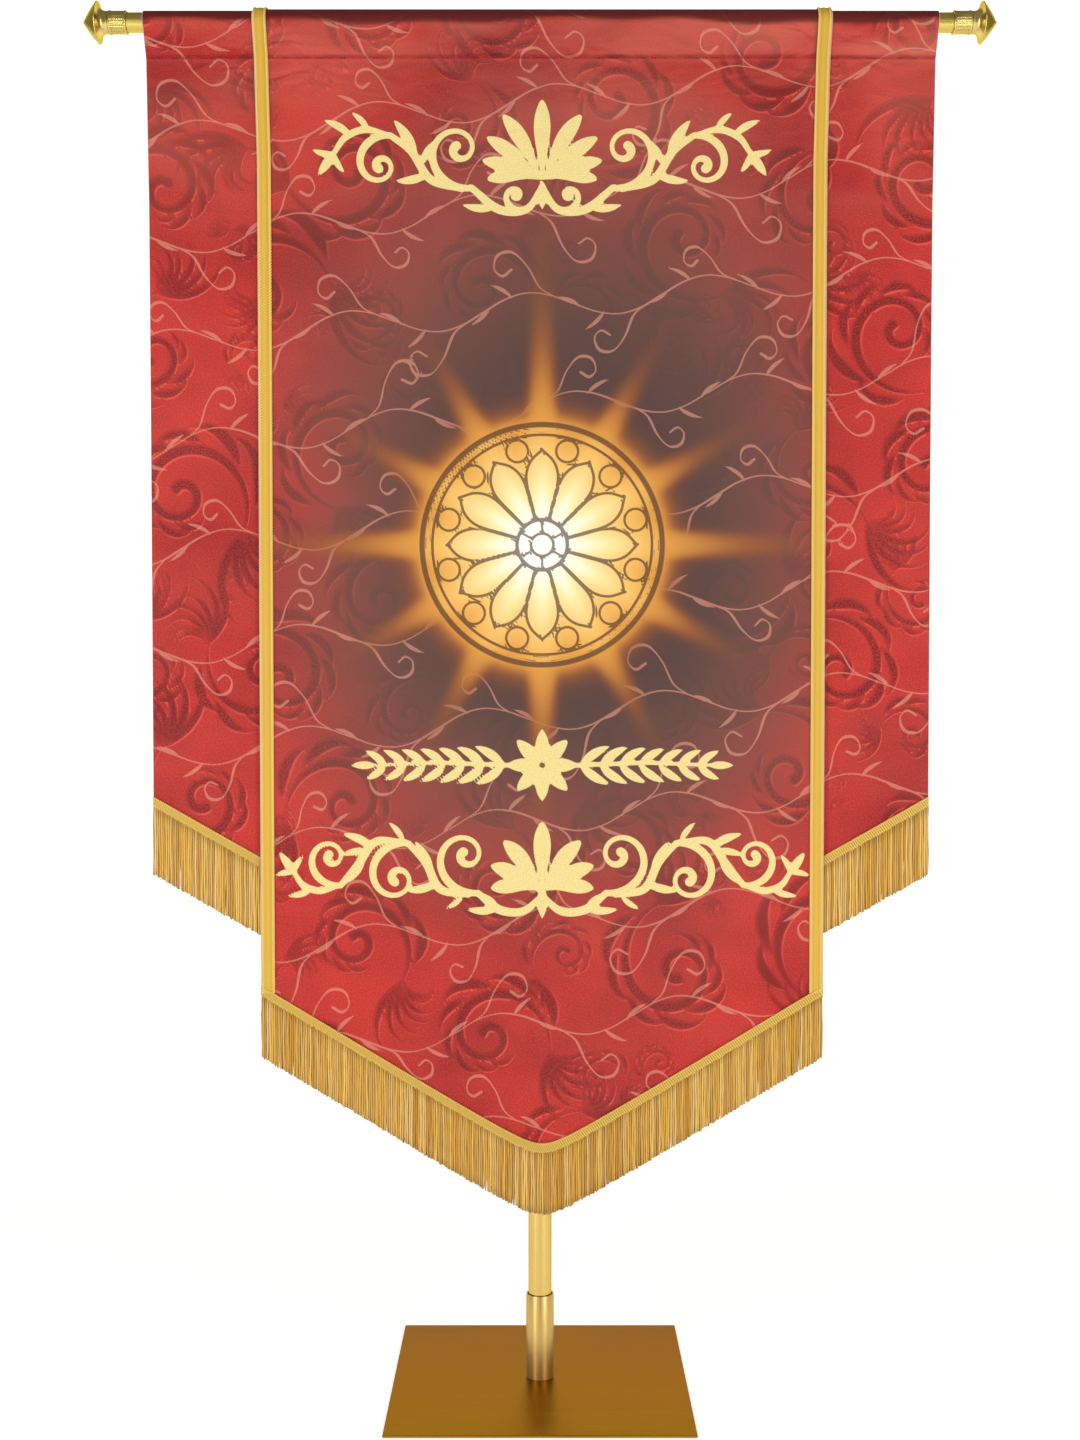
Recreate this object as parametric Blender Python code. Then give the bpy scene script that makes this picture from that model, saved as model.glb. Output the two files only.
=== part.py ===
# A church banner on its stand. Two cloth panels with pointed ends, the narrow one over the
# wide one, hang by rod pockets from a crossbar. The crossbar lies on a pole, and the pole
# stands in the socket of a square foot. Gold braid is sewn down the narrow panel's long
# edges, and a gold fringe along each pointed end.
# Metres, +Z up. The front is towards -Y. The origin is the middle of the foot's underside.

import math
import random

import bmesh
import bpy
from mathutils import Matrix, Vector

# Clearances
TOUCH = 0.0003
SEWN = 0.0004
CLEAR = 0.002

# Foot and pole
PLATE_SIDE = 0.340
PLATE_THICK = 0.003
PLATE_BEVEL = 0.0004
SOCKET_RADIUS = 0.0162
SOCKET_BORE = 0.0146
SOCKET_TOP = 0.1010
SOCKET_CHAMFER = 0.0006
POLE_RADIUS = 0.0135
POLE_BORE = 0.0120
POLE_SADDLE = 0.008

# Crossbar, collars and finials
BAR_Z = 1.577
BAR_RADIUS = 0.0112
BAR_BORE = 0.0098
BAR_HALF = 0.4980
COLLAR_LENGTH = 0.0212
COLLAR_RADIUS = 0.0135
COLLAR_WAIST = 0.0131
COLLAR_LIP = 0.0024
COLLAR_CHAMFER = 0.0008
FINIAL_TIP = 0.5283
SPIGOT_LENGTH = 0.020
NECK_RADIUS = 0.0129
BELL_RADIUS = 0.0230
BELL_LENGTH = 0.0115
BELL_CURVE = 4.2
FLANGE_RADIUS = 0.0239
FLANGE_THICK = 0.0014
FLANGE_CHAMFER = 0.0004
DOME_RADIUS = 0.0230
DOME_FULLNESS = 0.3

# Cloth
CLOTH_THICK = 0.0012
POCKET_RADIUS = 0.0162
SEAM_Z = 1.5300
NOTCH_HALF = 0.022
FLAP_START = (0.004, 0.014)
FLAP_DROP = 0.018
HEM_BEHIND_HEADING = 0.010
BACK_LIFT = 0.0
FRONT_LIFT_TOP = CLOTH_THICK + TOUCH
BOW_DEPTH = 0.004
BOW_HALF = 0.450
SWAY_TOP = 1.5645
SWAY_RUN = 0.500
RIPPLE_DEPTH = 0.0013
RIPPLE_PITCH = 0.270
RIPPLE_START = 0.7
RIPPLE_LEAN = 0.9

# Braid and fringe
BRAID_WIDTH = 0.016
BRAID_CORD = 0.0026
BRAID_THICK = 0.0009
BRAID_CORD_THICK = 0.0016
HEADING_HEIGHT = 0.0125
HEADING_THICK = 0.0016
STRAND_SHARE = 0.68
STRAND_UNEVEN = 0.003
STRAND_SWING = 0.0005
STRANDS_PER_FACE = 4

# The narrow panel comes forward over the wide panel's fringe.
FRINGE_FRONT = CLOTH_THICK + SEWN + HEADING_THICK
FRONT_LIFT_LOW = FRINGE_FRONT + CLEAR
FORWARD_Z = 0.6445

# Steps and limits of the meshes
TURNED_STEPS = 32
FLAP_STEPS = 3
ARC_STEPS = 8
BODY_STEPS = 7
DOME_STEPS = 5
BELL_STEPS = 6
SMOOTH_ANGLE = 0.6
SAME_POINT = 1e-6
AHEAD = 0.01

# Each panel: its half width from the bar down, as (height, half width), its shift along the
# bar, the height of its heading at the sides, the slope and the round of its pointed end,
# the columns of its solid on one side, and its fringe: strands, length with the heading,
# and the seed of the strands' unevenness.
BACK = {
    "widths": ((0.6825, 0.4483), (1.3645, 0.4505), (1.5285, 0.4530), (1.577, 0.4580)),
    "shift": 0.001,
    "side_z": 0.6825,
    "slope": 0.567,
    "round": 0.010,
    "columns": 10,
    "strands": 162,
    "fringe": 0.090,
    "seed": 11,
}
FRONT = {
    "widths": ((0.4645, 0.3245), (1.4145, 0.3275), (1.5285, 0.3305), (1.577, 0.3335)),
    "shift": 0.0025,
    "side_z": 0.4641,
    "slope": 0.600,
    "round": 0.022,
    "columns": 7,
    "strands": 118,
    "fringe": 0.082,
    "seed": 12,
}


def clear_scene():
    for item in list(bpy.data.objects):
        bpy.data.objects.remove(item, do_unlink=True)


def make_material(name, colour, roughness, metallic):
    material = bpy.data.materials.new(name)
    material.use_nodes = True
    shader = material.node_tree.nodes["Principled BSDF"]
    shader.inputs["Base Color"].default_value = (*colour, 1.0)
    shader.inputs["Roughness"].default_value = roughness
    shader.inputs["Metallic"].default_value = metallic
    return material


def add_object(name, bm, material):
    bmesh.ops.recalc_face_normals(bm, faces=bm.faces[:])
    mesh = bpy.data.meshes.new(name)
    bm.to_mesh(mesh)
    bm.free()
    mesh.shade_smooth()
    mesh.set_sharp_from_angle(angle=SMOOTH_ANGLE)
    mesh.materials.append(material)
    item = bpy.data.objects.new(name, mesh)
    bpy.context.scene.collection.objects.link(item)
    return item


def smooth_share(value):
    share = min(max(value, 0.0), 1.0)
    return share * share * (3 - 2 * share)


# Turned pieces

def spin_profile(profile, closed):
    # Profile points are (radius, height). A closed profile makes a ring or a tube.
    bm = bmesh.new()
    corners = [bm.verts.new((radius, 0, height)) for radius, height in profile]
    edges = [bm.edges.new(pair) for pair in zip(corners, corners[1:])]
    if closed:
        edges.append(bm.edges.new((corners[-1], corners[0])))
    bmesh.ops.spin(
        bm,
        geom=corners + edges,
        cent=(0, 0, 0),
        axis=(0, 0, 1),
        angle=2 * math.pi,
        steps=TURNED_STEPS,
    )
    bmesh.ops.remove_doubles(bm, verts=bm.verts[:], dist=SAME_POINT)
    return bm


def tube_profile(bore, radius, low, high, chamfer=0.0):
    if not chamfer:
        return [(bore, low), (radius, low), (radius, high), (bore, high)]
    return [
        (bore, low),
        (radius, low),
        (radius, high - chamfer),
        (radius - chamfer, high),
        (bore + chamfer, high),
        (bore, high - chamfer),
    ]


def lay_along_bar(item, side):
    # Turns a piece spun about Z so that its top points outwards along the bar.
    item.location = (0, 0, BAR_Z)
    item.rotation_euler = (0, side * math.pi / 2, 0)


def make_foot(material):
    bm = bmesh.new()
    bmesh.ops.create_cube(bm, size=1.0)
    size = (PLATE_SIDE, PLATE_SIDE, PLATE_THICK)
    bmesh.ops.scale(bm, vec=size, verts=bm.verts[:])
    bmesh.ops.translate(bm, vec=(0, 0, PLATE_THICK / 2), verts=bm.verts[:])
    plate = add_object("base_plate", bm, material)
    bevel = plate.modifiers.new("edge", "BEVEL")
    bevel.width = PLATE_BEVEL
    bevel.segments = 1


def make_socket(material):
    low = PLATE_THICK + TOUCH
    profile = tube_profile(SOCKET_BORE, SOCKET_RADIUS, low, SOCKET_TOP, SOCKET_CHAMFER)
    add_object("base_socket", spin_profile(profile, closed=True), material)


def make_pole(material):
    # The top is hollowed to a saddle that follows the bar.
    low = PLATE_THICK + TOUCH
    profile = tube_profile(POLE_BORE, POLE_RADIUS, low, BAR_Z - POLE_SADDLE)
    pole = add_object("pole", spin_profile(profile, closed=True), material)
    bm = bmesh.new()
    bmesh.ops.create_cone(
        bm,
        cap_ends=True,
        segments=2 * TURNED_STEPS,
        radius1=BAR_RADIUS + TOUCH,
        radius2=BAR_RADIUS + TOUCH,
        depth=4 * POLE_RADIUS,
        matrix=Matrix.Rotation(math.pi / 2, 4, "Y"),
    )
    cutter = add_object("saddle_cutter", bm, material)
    cutter.location = (0, 0, BAR_Z)
    cutter.hide_render = True
    cutter.display_type = "WIRE"
    cut = pole.modifiers.new("saddle", "BOOLEAN")
    cut.operation = "DIFFERENCE"
    cut.object = cutter


def make_crossbar(material):
    profile = tube_profile(BAR_BORE, BAR_RADIUS, -BAR_HALF, BAR_HALF)
    bar = add_object("crossbar", spin_profile(profile, closed=True), material)
    lay_along_bar(bar, 1)


def make_collar(name, side, material):
    inner_end = BAR_HALF - COLLAR_LENGTH
    bore = BAR_RADIUS + TOUCH
    profile = [
        (bore, inner_end),
        (COLLAR_RADIUS - COLLAR_CHAMFER, inner_end),
        (COLLAR_RADIUS, inner_end + COLLAR_CHAMFER),
        (COLLAR_RADIUS, inner_end + COLLAR_LIP),
        (COLLAR_WAIST, inner_end + COLLAR_LIP),
        (COLLAR_WAIST, BAR_HALF - COLLAR_LIP),
        (COLLAR_RADIUS, BAR_HALF - COLLAR_LIP),
        (COLLAR_RADIUS, BAR_HALF),
        (bore, BAR_HALF),
    ]
    collar = add_object(name, spin_profile(profile, closed=True), material)
    lay_along_bar(collar, side)


def bell_points(start):
    # The neck flares towards the flange, slowly at first.
    points = []
    for step in range(BELL_STEPS + 1):
        share = step / BELL_STEPS
        radius = NECK_RADIUS + (BELL_RADIUS - NECK_RADIUS) * share**BELL_CURVE
        points.append((radius, start + BELL_LENGTH * share))
    return points


def dome_points(start):
    # A cone with full sides that ends in a blunt tip on the axis.
    points = []
    for step in range(DOME_STEPS + 1):
        share = step / DOME_STEPS
        radius = DOME_RADIUS * (1 - share) * (1 + DOME_FULLNESS * share)
        points.append((radius, start + (FINIAL_TIP - start) * share))
    return points


def make_finial(name, side, material):
    start = BAR_HALF + TOUCH
    flange = start + BELL_LENGTH
    dome = flange + FLANGE_THICK
    spigot = BAR_BORE - TOUCH
    profile = [
        (0.0, start - SPIGOT_LENGTH),
        (spigot, start - SPIGOT_LENGTH),
        (spigot, start),
        *bell_points(start),
        (FLANGE_RADIUS - FLANGE_CHAMFER, flange),
        (FLANGE_RADIUS, flange + FLANGE_CHAMFER),
        (FLANGE_RADIUS, dome - FLANGE_CHAMFER),
        *dome_points(dome),
    ]
    finial = add_object(name, spin_profile(profile, closed=False), material)
    lay_along_bar(finial, side)


# The way the cloth hangs

def half_width(panel, z):
    rows = panel["widths"]
    if z <= rows[0][0]:
        return rows[0][1]
    for (low, low_width), (high, high_width) in zip(rows, rows[1:]):
        if z <= high:
            return low_width + (high_width - low_width) * (z - low) / (high - low)
    return rows[-1][1]


def heading_z(panel, x):
    # The top of the fringe's heading: a V with a rounded point.
    side = half_width(panel, panel["side_z"])
    reach = math.hypot(side, panel["round"])
    from_middle = math.hypot(x - panel["shift"], panel["round"])
    return panel["side_z"] - panel["slope"] * (reach - from_middle)


def sway(x, z):
    # The cloth bows back on both sides of the pole, and ripples more towards its edges.
    drop = smooth_share((SWAY_TOP - z) / SWAY_RUN)
    across = abs(x) / BOW_HALF
    ripple = math.sin(2 * math.pi * x / RIPPLE_PITCH + RIPPLE_START + RIPPLE_LEAN * z)
    return drop * (BOW_DEPTH * across**2 + RIPPLE_DEPTH * across * ripple)


def front_lift(z):
    # How far the narrow panel's back lies in front of the wide panel's back.
    share = smooth_share((SEAM_Z - z) / (SEAM_Z - FORWARD_Z))
    return FRONT_LIFT_TOP + (FRONT_LIFT_LOW - FRONT_LIFT_TOP) * share


def back_lift(z):
    return BACK_LIFT


def bezier(points, share):
    rest = 1 - share
    weights = (rest**3, 3 * rest**2 * share, 3 * rest * share**2, share**3)
    return sum((w * p for w, p in zip(weights, points)), Vector((0, 0)))


def pocket_stations():
    # The rod pocket from the flap's sewn end, up behind the bar and over it to its front.
    # Each station is y, z and the outward direction.
    middle = BAR_Z + BAR_RADIUS + TOUCH - POCKET_RADIUS
    end = Vector((-POCKET_RADIUS + TOUCH, SEAM_Z))
    back = Vector((POCKET_RADIUS, middle))
    guides = (end, end + Vector(FLAP_START), back - Vector((0, FLAP_DROP)), back)
    stations = []
    for step in range(FLAP_STEPS):
        share = step / FLAP_STEPS
        here = bezier(guides, share)
        ahead = (bezier(guides, share + AHEAD) - here).normalized()
        stations.append((here.x, here.y, ahead.y, -ahead.x))
    for step in range(ARC_STEPS + 1):
        turn = math.pi * step / ARC_STEPS
        y = POCKET_RADIUS * math.cos(turn)
        z = middle + POCKET_RADIUS * math.sin(turn)
        stations.append((y, z, math.cos(turn), math.sin(turn)))
    return stations


POCKET = pocket_stations()
LAST_ROW = len(POCKET) + BODY_STEPS


def hang(panel, x_top, row, bottom_offset, lift, extra):
    # A point of the cloth in a row of its solid, x_top along the bar from its middle.
    # The rows after the pocket go from the seam down to the pointed end.
    top_half = half_width(panel, BAR_Z)
    if row < len(POCKET):
        y, z, out_y, out_z = POCKET[row]
        away = lift(SEAM_Z) + extra
        x = x_top * half_width(panel, z) / top_half + panel["shift"]
        return Vector((x, y + out_y * away + sway(x, z), z + out_z * away))
    side = x_top * half_width(panel, panel["side_z"]) / top_half + panel["shift"]
    share = (row - len(POCKET)) / BODY_STEPS
    z = SEAM_Z + (heading_z(panel, side) + bottom_offset - SEAM_Z) * share
    x = x_top * half_width(panel, z) / top_half + panel["shift"]
    return Vector((x, -POCKET_RADIUS - lift(z) - extra + sway(x, z), z))


# Sheets, braids and fringes

def add_slab(name, inner, outer, is_cloth, material):
    # A closed sheet between two grids of points. is_cloth tells which cells are filled.
    bm = bmesh.new()
    inside = [[bm.verts.new(point) for point in row] for row in inner]
    outside = [[bm.verts.new(point) for point in row] for row in outer]
    rows = len(inner) - 1
    columns = len(inner[0]) - 1

    def filled(row, column):
        return 0 <= row < rows and 0 <= column < columns and is_cloth(row, column)

    for row in range(rows):
        for column in range(columns):
            if not filled(row, column):
                continue
            corners = [(row, column), (row, column + 1), (row + 1, column + 1), (row + 1, column)]
            beside = [(row - 1, column), (row, column + 1), (row + 1, column), (row, column - 1)]
            bm.faces.new([outside[r][c] for r, c in corners])
            bm.faces.new([inside[r][c] for r, c in reversed(corners)])
            for side in range(4):
                if filled(*beside[side]):
                    continue
                (r1, c1), (r2, c2) = corners[side], corners[(side + 1) % 4]
                bm.faces.new((inside[r1][c1], inside[r2][c2], outside[r2][c2], outside[r1][c1]))
    bmesh.ops.delete(bm, geom=[v for v in bm.verts if not v.link_faces], context="VERTS")
    return add_object(name, bm, material)


def column_places(panel):
    # Places along the bar: close together at the notch and the point, then even.
    half = half_width(panel, BAR_Z)
    places = [0.0, NOTCH_HALF / 2, NOTCH_HALF, 2 * NOTCH_HALF]
    start = places[-1]
    count = panel["columns"]
    places += [start + (half - start) * step / count for step in range(1, count + 1)]
    return [-place for place in reversed(places[1:])] + places


def make_panel(name, panel, lift, material):
    places = column_places(panel)
    rows = range(LAST_ROW + 1)
    hem = -HEM_BEHIND_HEADING
    inner = [[hang(panel, x, row, hem, lift, 0) for x in places] for row in rows]
    outer = [[hang(panel, x, row, hem, lift, CLOTH_THICK) for x in places] for row in rows]

    def is_cloth(row, column):
        middle = (places[column] + places[column + 1]) / 2
        return row >= FLAP_STEPS or abs(middle) > NOTCH_HALF

    add_slab(name, inner, outer, is_cloth, material)


def make_braid(name, side, material):
    # A flat band with a thicker cord along each edge, over the bar like the panel under it.
    half = half_width(FRONT, BAR_Z)
    across = (
        (0.0, BRAID_THICK),
        (BRAID_CORD / 2, BRAID_CORD_THICK),
        (BRAID_CORD, BRAID_THICK),
        (BRAID_WIDTH - BRAID_CORD, BRAID_THICK),
        (BRAID_WIDTH - BRAID_CORD / 2, BRAID_CORD_THICK),
        (BRAID_WIDTH, BRAID_THICK),
    )
    under = CLOTH_THICK + SEWN
    inner = []
    outer = []
    for row in range(LAST_ROW + 1):
        places = [(side * (half - inset), thick) for inset, thick in across]
        inner.append([hang(FRONT, x, row, SEWN, front_lift, under) for x, _ in places])
        outer.append([hang(FRONT, x, row, SEWN, front_lift, under + t) for x, t in places])
    add_slab(name, inner, outer, lambda row, column: True, material)


def fringe_point(panel, x, drop, lift, extra):
    # A point of a fringe, drop below the top of its heading.
    z = heading_z(panel, x)
    y = -POCKET_RADIUS - lift(z) - extra + sway(x, z)
    return Vector((x, y, z - drop))


def strand_edges(panel):
    half = half_width(panel, panel["side_z"])
    pitch = 2 * half / panel["strands"]
    margin = pitch * (1 - STRAND_SHARE) / 2
    left_end = panel["shift"] - half
    places = [left_end]
    for strand in range(panel["strands"]):
        start = left_end + strand * pitch
        places += [start + margin, start + pitch - margin]
    return places + [left_end + 2 * half]


def make_fringe(name, panel, lift, material):
    # A strip along the pointed end, with strands that hang from its lower edge.
    chance = random.Random(panel["seed"])
    under = CLOTH_THICK + SEWN
    layers = (under, under + HEADING_THICK)
    places = strand_edges(panel)
    last = len(places) - 1
    marks = [*range(0, last, 2 * STRANDS_PER_FACE), last]
    bm = bmesh.new()

    def corner(x, drop, layer):
        return bm.verts.new(fringe_point(panel, x, drop, lift, layers[layer]))

    top = {mark: [corner(places[mark], 0, layer) for layer in (0, 1)] for mark in marks}
    low = [[corner(x, HEADING_HEIGHT, layer) for layer in (0, 1)] for x in places]
    for start, end in zip(marks, marks[1:]):
        for layer in (0, 1):
            along = [low[place][layer] for place in range(end, start - 1, -1)]
            bm.faces.new([top[start][layer], top[end][layer], *along])
        bm.faces.new((top[start][0], top[end][0], top[end][1], top[start][1]))
    for mark in (0, last):
        bm.faces.new((top[mark][0], top[mark][1], low[mark][1], low[mark][0]))
    for gap in range(0, last, 2):
        bm.faces.new((low[gap][0], low[gap + 1][0], low[gap + 1][1], low[gap][1]))
    for left in range(1, last, 2):
        length = panel["fringe"] + chance.uniform(-STRAND_UNEVEN, STRAND_UNEVEN)
        swing = Vector((chance.uniform(-1, 1), chance.uniform(-1, 1), 0)) * STRAND_SWING
        root = [low[left][0], low[left + 1][0], low[left + 1][1], low[left][1]]
        drop = Vector((0, 0, HEADING_HEIGHT - length))
        tip = [bm.verts.new(vertex.co + drop + swing) for vertex in root]
        for side in range(4):
            after = (side + 1) % 4
            bm.faces.new((root[side], root[after], tip[after], tip[side]))
        bm.faces.new(tip)
    return add_object(name, bm, material)


def main():
    clear_scene()
    brushed = make_material("brushed_gold_plate", (0.42, 0.20, 0.03), 0.38, 1.0)
    plated = make_material("gold_plated_tube", (0.72, 0.42, 0.10), 0.28, 1.0)
    polished = make_material("polished_gold_fitting", (0.80, 0.48, 0.12), 0.20, 1.0)
    damask = make_material("red_damask", (0.58, 0.035, 0.028), 0.62, 0.0)
    lurex = make_material("gold_braid", (0.66, 0.42, 0.12), 0.50, 0.35)
    chainette = make_material("gold_fringe", (0.60, 0.38, 0.12), 0.55, 0.20)

    make_foot(brushed)
    make_socket(plated)
    make_pole(plated)
    make_crossbar(plated)
    for side, label in ((-1, "left"), (1, "right")):
        make_collar(f"collar_{label}", side, polished)
        make_finial(f"finial_{label}", side, polished)
    make_panel("back_panel", BACK, back_lift, damask)
    make_panel("front_panel", FRONT, front_lift, damask)
    for side, label in ((-1, "left"), (1, "right")):
        make_braid(f"braid_{label}", side, lurex)
    make_fringe("back_fringe", BACK, back_lift, chainette)
    make_fringe("front_fringe", FRONT, front_lift, chainette)


main()
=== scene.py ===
import math
import random

import bmesh
import bpy
import numpy as np
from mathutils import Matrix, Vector


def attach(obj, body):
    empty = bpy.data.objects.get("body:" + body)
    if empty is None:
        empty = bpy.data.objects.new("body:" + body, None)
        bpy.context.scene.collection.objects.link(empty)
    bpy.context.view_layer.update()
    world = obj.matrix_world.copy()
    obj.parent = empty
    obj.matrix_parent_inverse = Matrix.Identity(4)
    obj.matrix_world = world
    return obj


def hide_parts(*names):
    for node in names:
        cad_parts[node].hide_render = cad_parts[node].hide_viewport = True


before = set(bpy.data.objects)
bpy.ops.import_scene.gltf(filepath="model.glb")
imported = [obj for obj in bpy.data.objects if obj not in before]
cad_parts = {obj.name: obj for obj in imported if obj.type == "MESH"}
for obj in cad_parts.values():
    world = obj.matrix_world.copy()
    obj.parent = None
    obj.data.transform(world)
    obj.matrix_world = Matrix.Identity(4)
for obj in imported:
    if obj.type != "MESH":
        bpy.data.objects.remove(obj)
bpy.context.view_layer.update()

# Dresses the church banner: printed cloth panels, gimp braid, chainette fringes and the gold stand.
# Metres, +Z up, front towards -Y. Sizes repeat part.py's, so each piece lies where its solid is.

bpy.context.scene.view_settings.view_transform = "Standard"

mm = 0.001
touch = 0.0003
sewn = 0.0004

stand = {
    "plateSide": 0.340, "plateThick": 0.003, "plateBevel": 0.0005,
    "socketRadius": 0.0162, "socketBore": 0.0146, "socketTop": 0.1010, "socketChamfer": 0.0006,
    "poleRadius": 0.0135, "poleBore": 0.0120, "poleSaddle": 0.008,
    "barZ": 1.577, "barRadius": 0.0112, "barBore": 0.0098, "barHalf": 0.4980,
    "turns": 96,
}
cloth = {
    "thick": 0.0012, "pocketRadius": 0.0162, "seamZ": 1.5300, "notchHalf": 0.022,
    "flapStart": (0.004, 0.014), "flapDrop": 0.018, "hemBehind": 0.010,
    "bowDepth": 0.004, "bowHalf": 0.450, "swayTop": 1.5645, "swayRun": 0.500,
    "rippleDepth": 0.0013, "ripplePitch": 0.270, "rippleStart": 0.7, "rippleLean": 0.9,
    "forwardZ": 0.6445, "forwardLift": 0.0052, "topLift": 0.0015,
}
backPanel = {
    "heights": (0.6825, 1.3645, 1.5285, 1.577), "halves": (0.4483, 0.4505, 0.4530, 0.4580),
    "shift": 0.001, "sideZ": 0.6825, "slope": 0.567, "round": 0.010, "forward": False,
    "fringe": 0.090, "seed": 31,
}
frontPanel = {
    "heights": (0.4645, 1.4145, 1.5285, 1.577), "halves": (0.3245, 0.3275, 0.3305, 0.3335),
    "shift": 0.0025, "sideZ": 0.4641, "slope": 0.600, "round": 0.022, "forward": True,
    "fringe": 0.082, "seed": 32,
}

# Blender's Mix node has sockets of the same name for numbers and colours, so colours go by place
colourA, colourB, colourOut = 6, 7, 2


def linear(hexColour):
    parts = [int(hexColour[i:i + 2], 16) / 255 for i in (1, 3, 5)]
    return (*[c / 12.92 if c <= 0.04045 else ((c + 0.055) / 1.055) ** 2.4 for c in parts], 1.0)


def addNode(tree, kind, values=None, links=None, **settings):
    node = tree.nodes.new("ShaderNode" + kind)
    for name, value in settings.items():
        setattr(node, name, value)
    for socket, value in (values or {}).items():
        node.inputs[socket].default_value = value
    for socket, source in (links or {}).items():
        tree.links.new(source, node.inputs[socket])
    return node


def startMaterial(name):
    material = bpy.data.materials.new(name)
    material.use_nodes = True
    return material, material.node_tree, material.node_tree.nodes["Principled BSDF"]


# Camera, stage and lights

camera = {"lens": 45.45, "place": (0, -2.115, 0.8055), "pitch": 0.945}


def makeCamera():
    data = bpy.data.cameras.new("camera")
    data.lens = camera["lens"]
    data.sensor_width = 36
    item = bpy.data.objects.new("camera", data)
    item.location = camera["place"]
    item.rotation_euler = (math.radians(90 - camera["pitch"]), 0, 0)
    bpy.context.scene.collection.objects.link(item)
    bpy.context.scene.camera = item


studio = {
    "halfWidth": 6.5, "frontY": -5.5, "wallY": 4.6, "bendRadius": 1.6, "wallTop": 6.0,
    # the paper glows more at the wall than round the stand
    "paper": "#EEEDEB", "paperRoughness": 0.6, "glowNear": 0.63, "glowFar": 0.96, "glowFrom": 0.6,
    "glowTo": 3.6,
    "world": "#B8B4AE", "worldStrength": 0.55,
    # place, aim, width, height, power in watts
    "lights": {
        "softbox_left": ((-1.75, -2.1, 1.15), (0, 0, 0.85), 0.75, 2.0, 29),
        "softbox_right": ((1.75, -2.1, 1.15), (0, 0, 0.85), 0.75, 2.0, 27),
    },
}


def makeStage():
    # A sweep of pale paper: the floor, a wide bend and the wall behind
    bm = bmesh.new()
    bend = studio["bendRadius"]
    profile = [(studio["frontY"], 0.0)]
    for step in range(17):
        turn = math.pi / 2 * step / 16
        profile.append((studio["wallY"] - bend + bend * math.sin(turn), bend - bend * math.cos(turn)))
    profile.append((studio["wallY"], studio["wallTop"]))
    left = [bm.verts.new((-studio["halfWidth"], y, z)) for y, z in profile]
    right = [bm.verts.new((studio["halfWidth"], y, z)) for y, z in profile]
    for i in range(len(profile) - 1):
        bm.faces.new((left[i], right[i], right[i + 1], left[i + 1]))
    mesh = bpy.data.meshes.new("paper_sweep")
    bm.to_mesh(mesh)
    bm.free()
    mesh.shade_smooth()
    sweep = bpy.data.objects.new("paper_sweep", mesh)
    bpy.context.scene.collection.objects.link(sweep)
    material, tree, shader = startMaterial("seamless_paper")  # matt paper, no sheen
    shader.inputs["Base Color"].default_value = linear(studio["paper"])
    shader.inputs["Roughness"].default_value = studio["paperRoughness"]
    shader.inputs["Specular IOR Level"].default_value = 0.2
    shader.inputs["Emission Color"].default_value = linear(studio["paper"])
    place = addNode(tree, "TexCoord")
    parts = addNode(tree, "SeparateXYZ", None, {0: place.outputs["Object"]})
    glow = addNode(tree, "MapRange", {"From Min": studio["glowFrom"], "From Max": studio["glowTo"],
                                      "To Min": studio["glowNear"], "To Max": studio["glowFar"]},
                   {"Value": parts.outputs["Y"]})
    tree.links.new(glow.outputs[0], shader.inputs["Emission Strength"])
    mesh.materials.append(material)


def makeLights():
    world = bpy.data.worlds.new("studio")
    world.use_nodes = True
    background = world.node_tree.nodes["Background"]
    background.inputs["Color"].default_value = linear(studio["world"])
    background.inputs["Strength"].default_value = studio["worldStrength"]
    bpy.context.scene.world = world
    for name, (place, aim, width, height, power) in studio["lights"].items():
        data = bpy.data.lights.new(name, "AREA")
        data.shape = "RECTANGLE"
        data.size = width
        data.size_y = height
        data.energy = power
        light = bpy.data.objects.new(name, data)
        light.location = place
        light.rotation_euler = (Vector(aim) - Vector(place)).to_track_quat("-Z", "Y").to_euler()
        bpy.context.scene.collection.objects.link(light)


makeCamera()
makeStage()
makeLights()
print("camera, stage and lights are in place")


# The way the cloth hangs, as in part.py, but for whole arrays of points

def smoothShare(value):
    share = np.clip(value, 0.0, 1.0)
    return share * share * (3 - 2 * share)


def halfWidth(panel, z):
    return np.interp(z, panel["heights"], panel["halves"])


def headingZ(panel, x):
    side = halfWidth(panel, panel["sideZ"])
    reach = math.hypot(side, panel["round"])
    return panel["sideZ"] - panel["slope"] * (reach - np.hypot(x - panel["shift"], panel["round"]))


def sway(x, z):
    drop = smoothShare((cloth["swayTop"] - z) / cloth["swayRun"])
    across = np.abs(x) / cloth["bowHalf"]
    turn = 2 * math.pi * x / cloth["ripplePitch"] + cloth["rippleStart"] + cloth["rippleLean"] * z
    return drop * (cloth["bowDepth"] * across**2 + cloth["rippleDepth"] * across * np.sin(turn))


def lift(panel, z):
    if not panel["forward"]:
        return np.zeros_like(z)
    share = smoothShare((cloth["seamZ"] - z) / (cloth["seamZ"] - cloth["forwardZ"]))
    return cloth["topLift"] + (cloth["forwardLift"] - cloth["topLift"]) * share


pocketMiddle = stand["barZ"] + stand["barRadius"] + touch - cloth["pocketRadius"]


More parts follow.
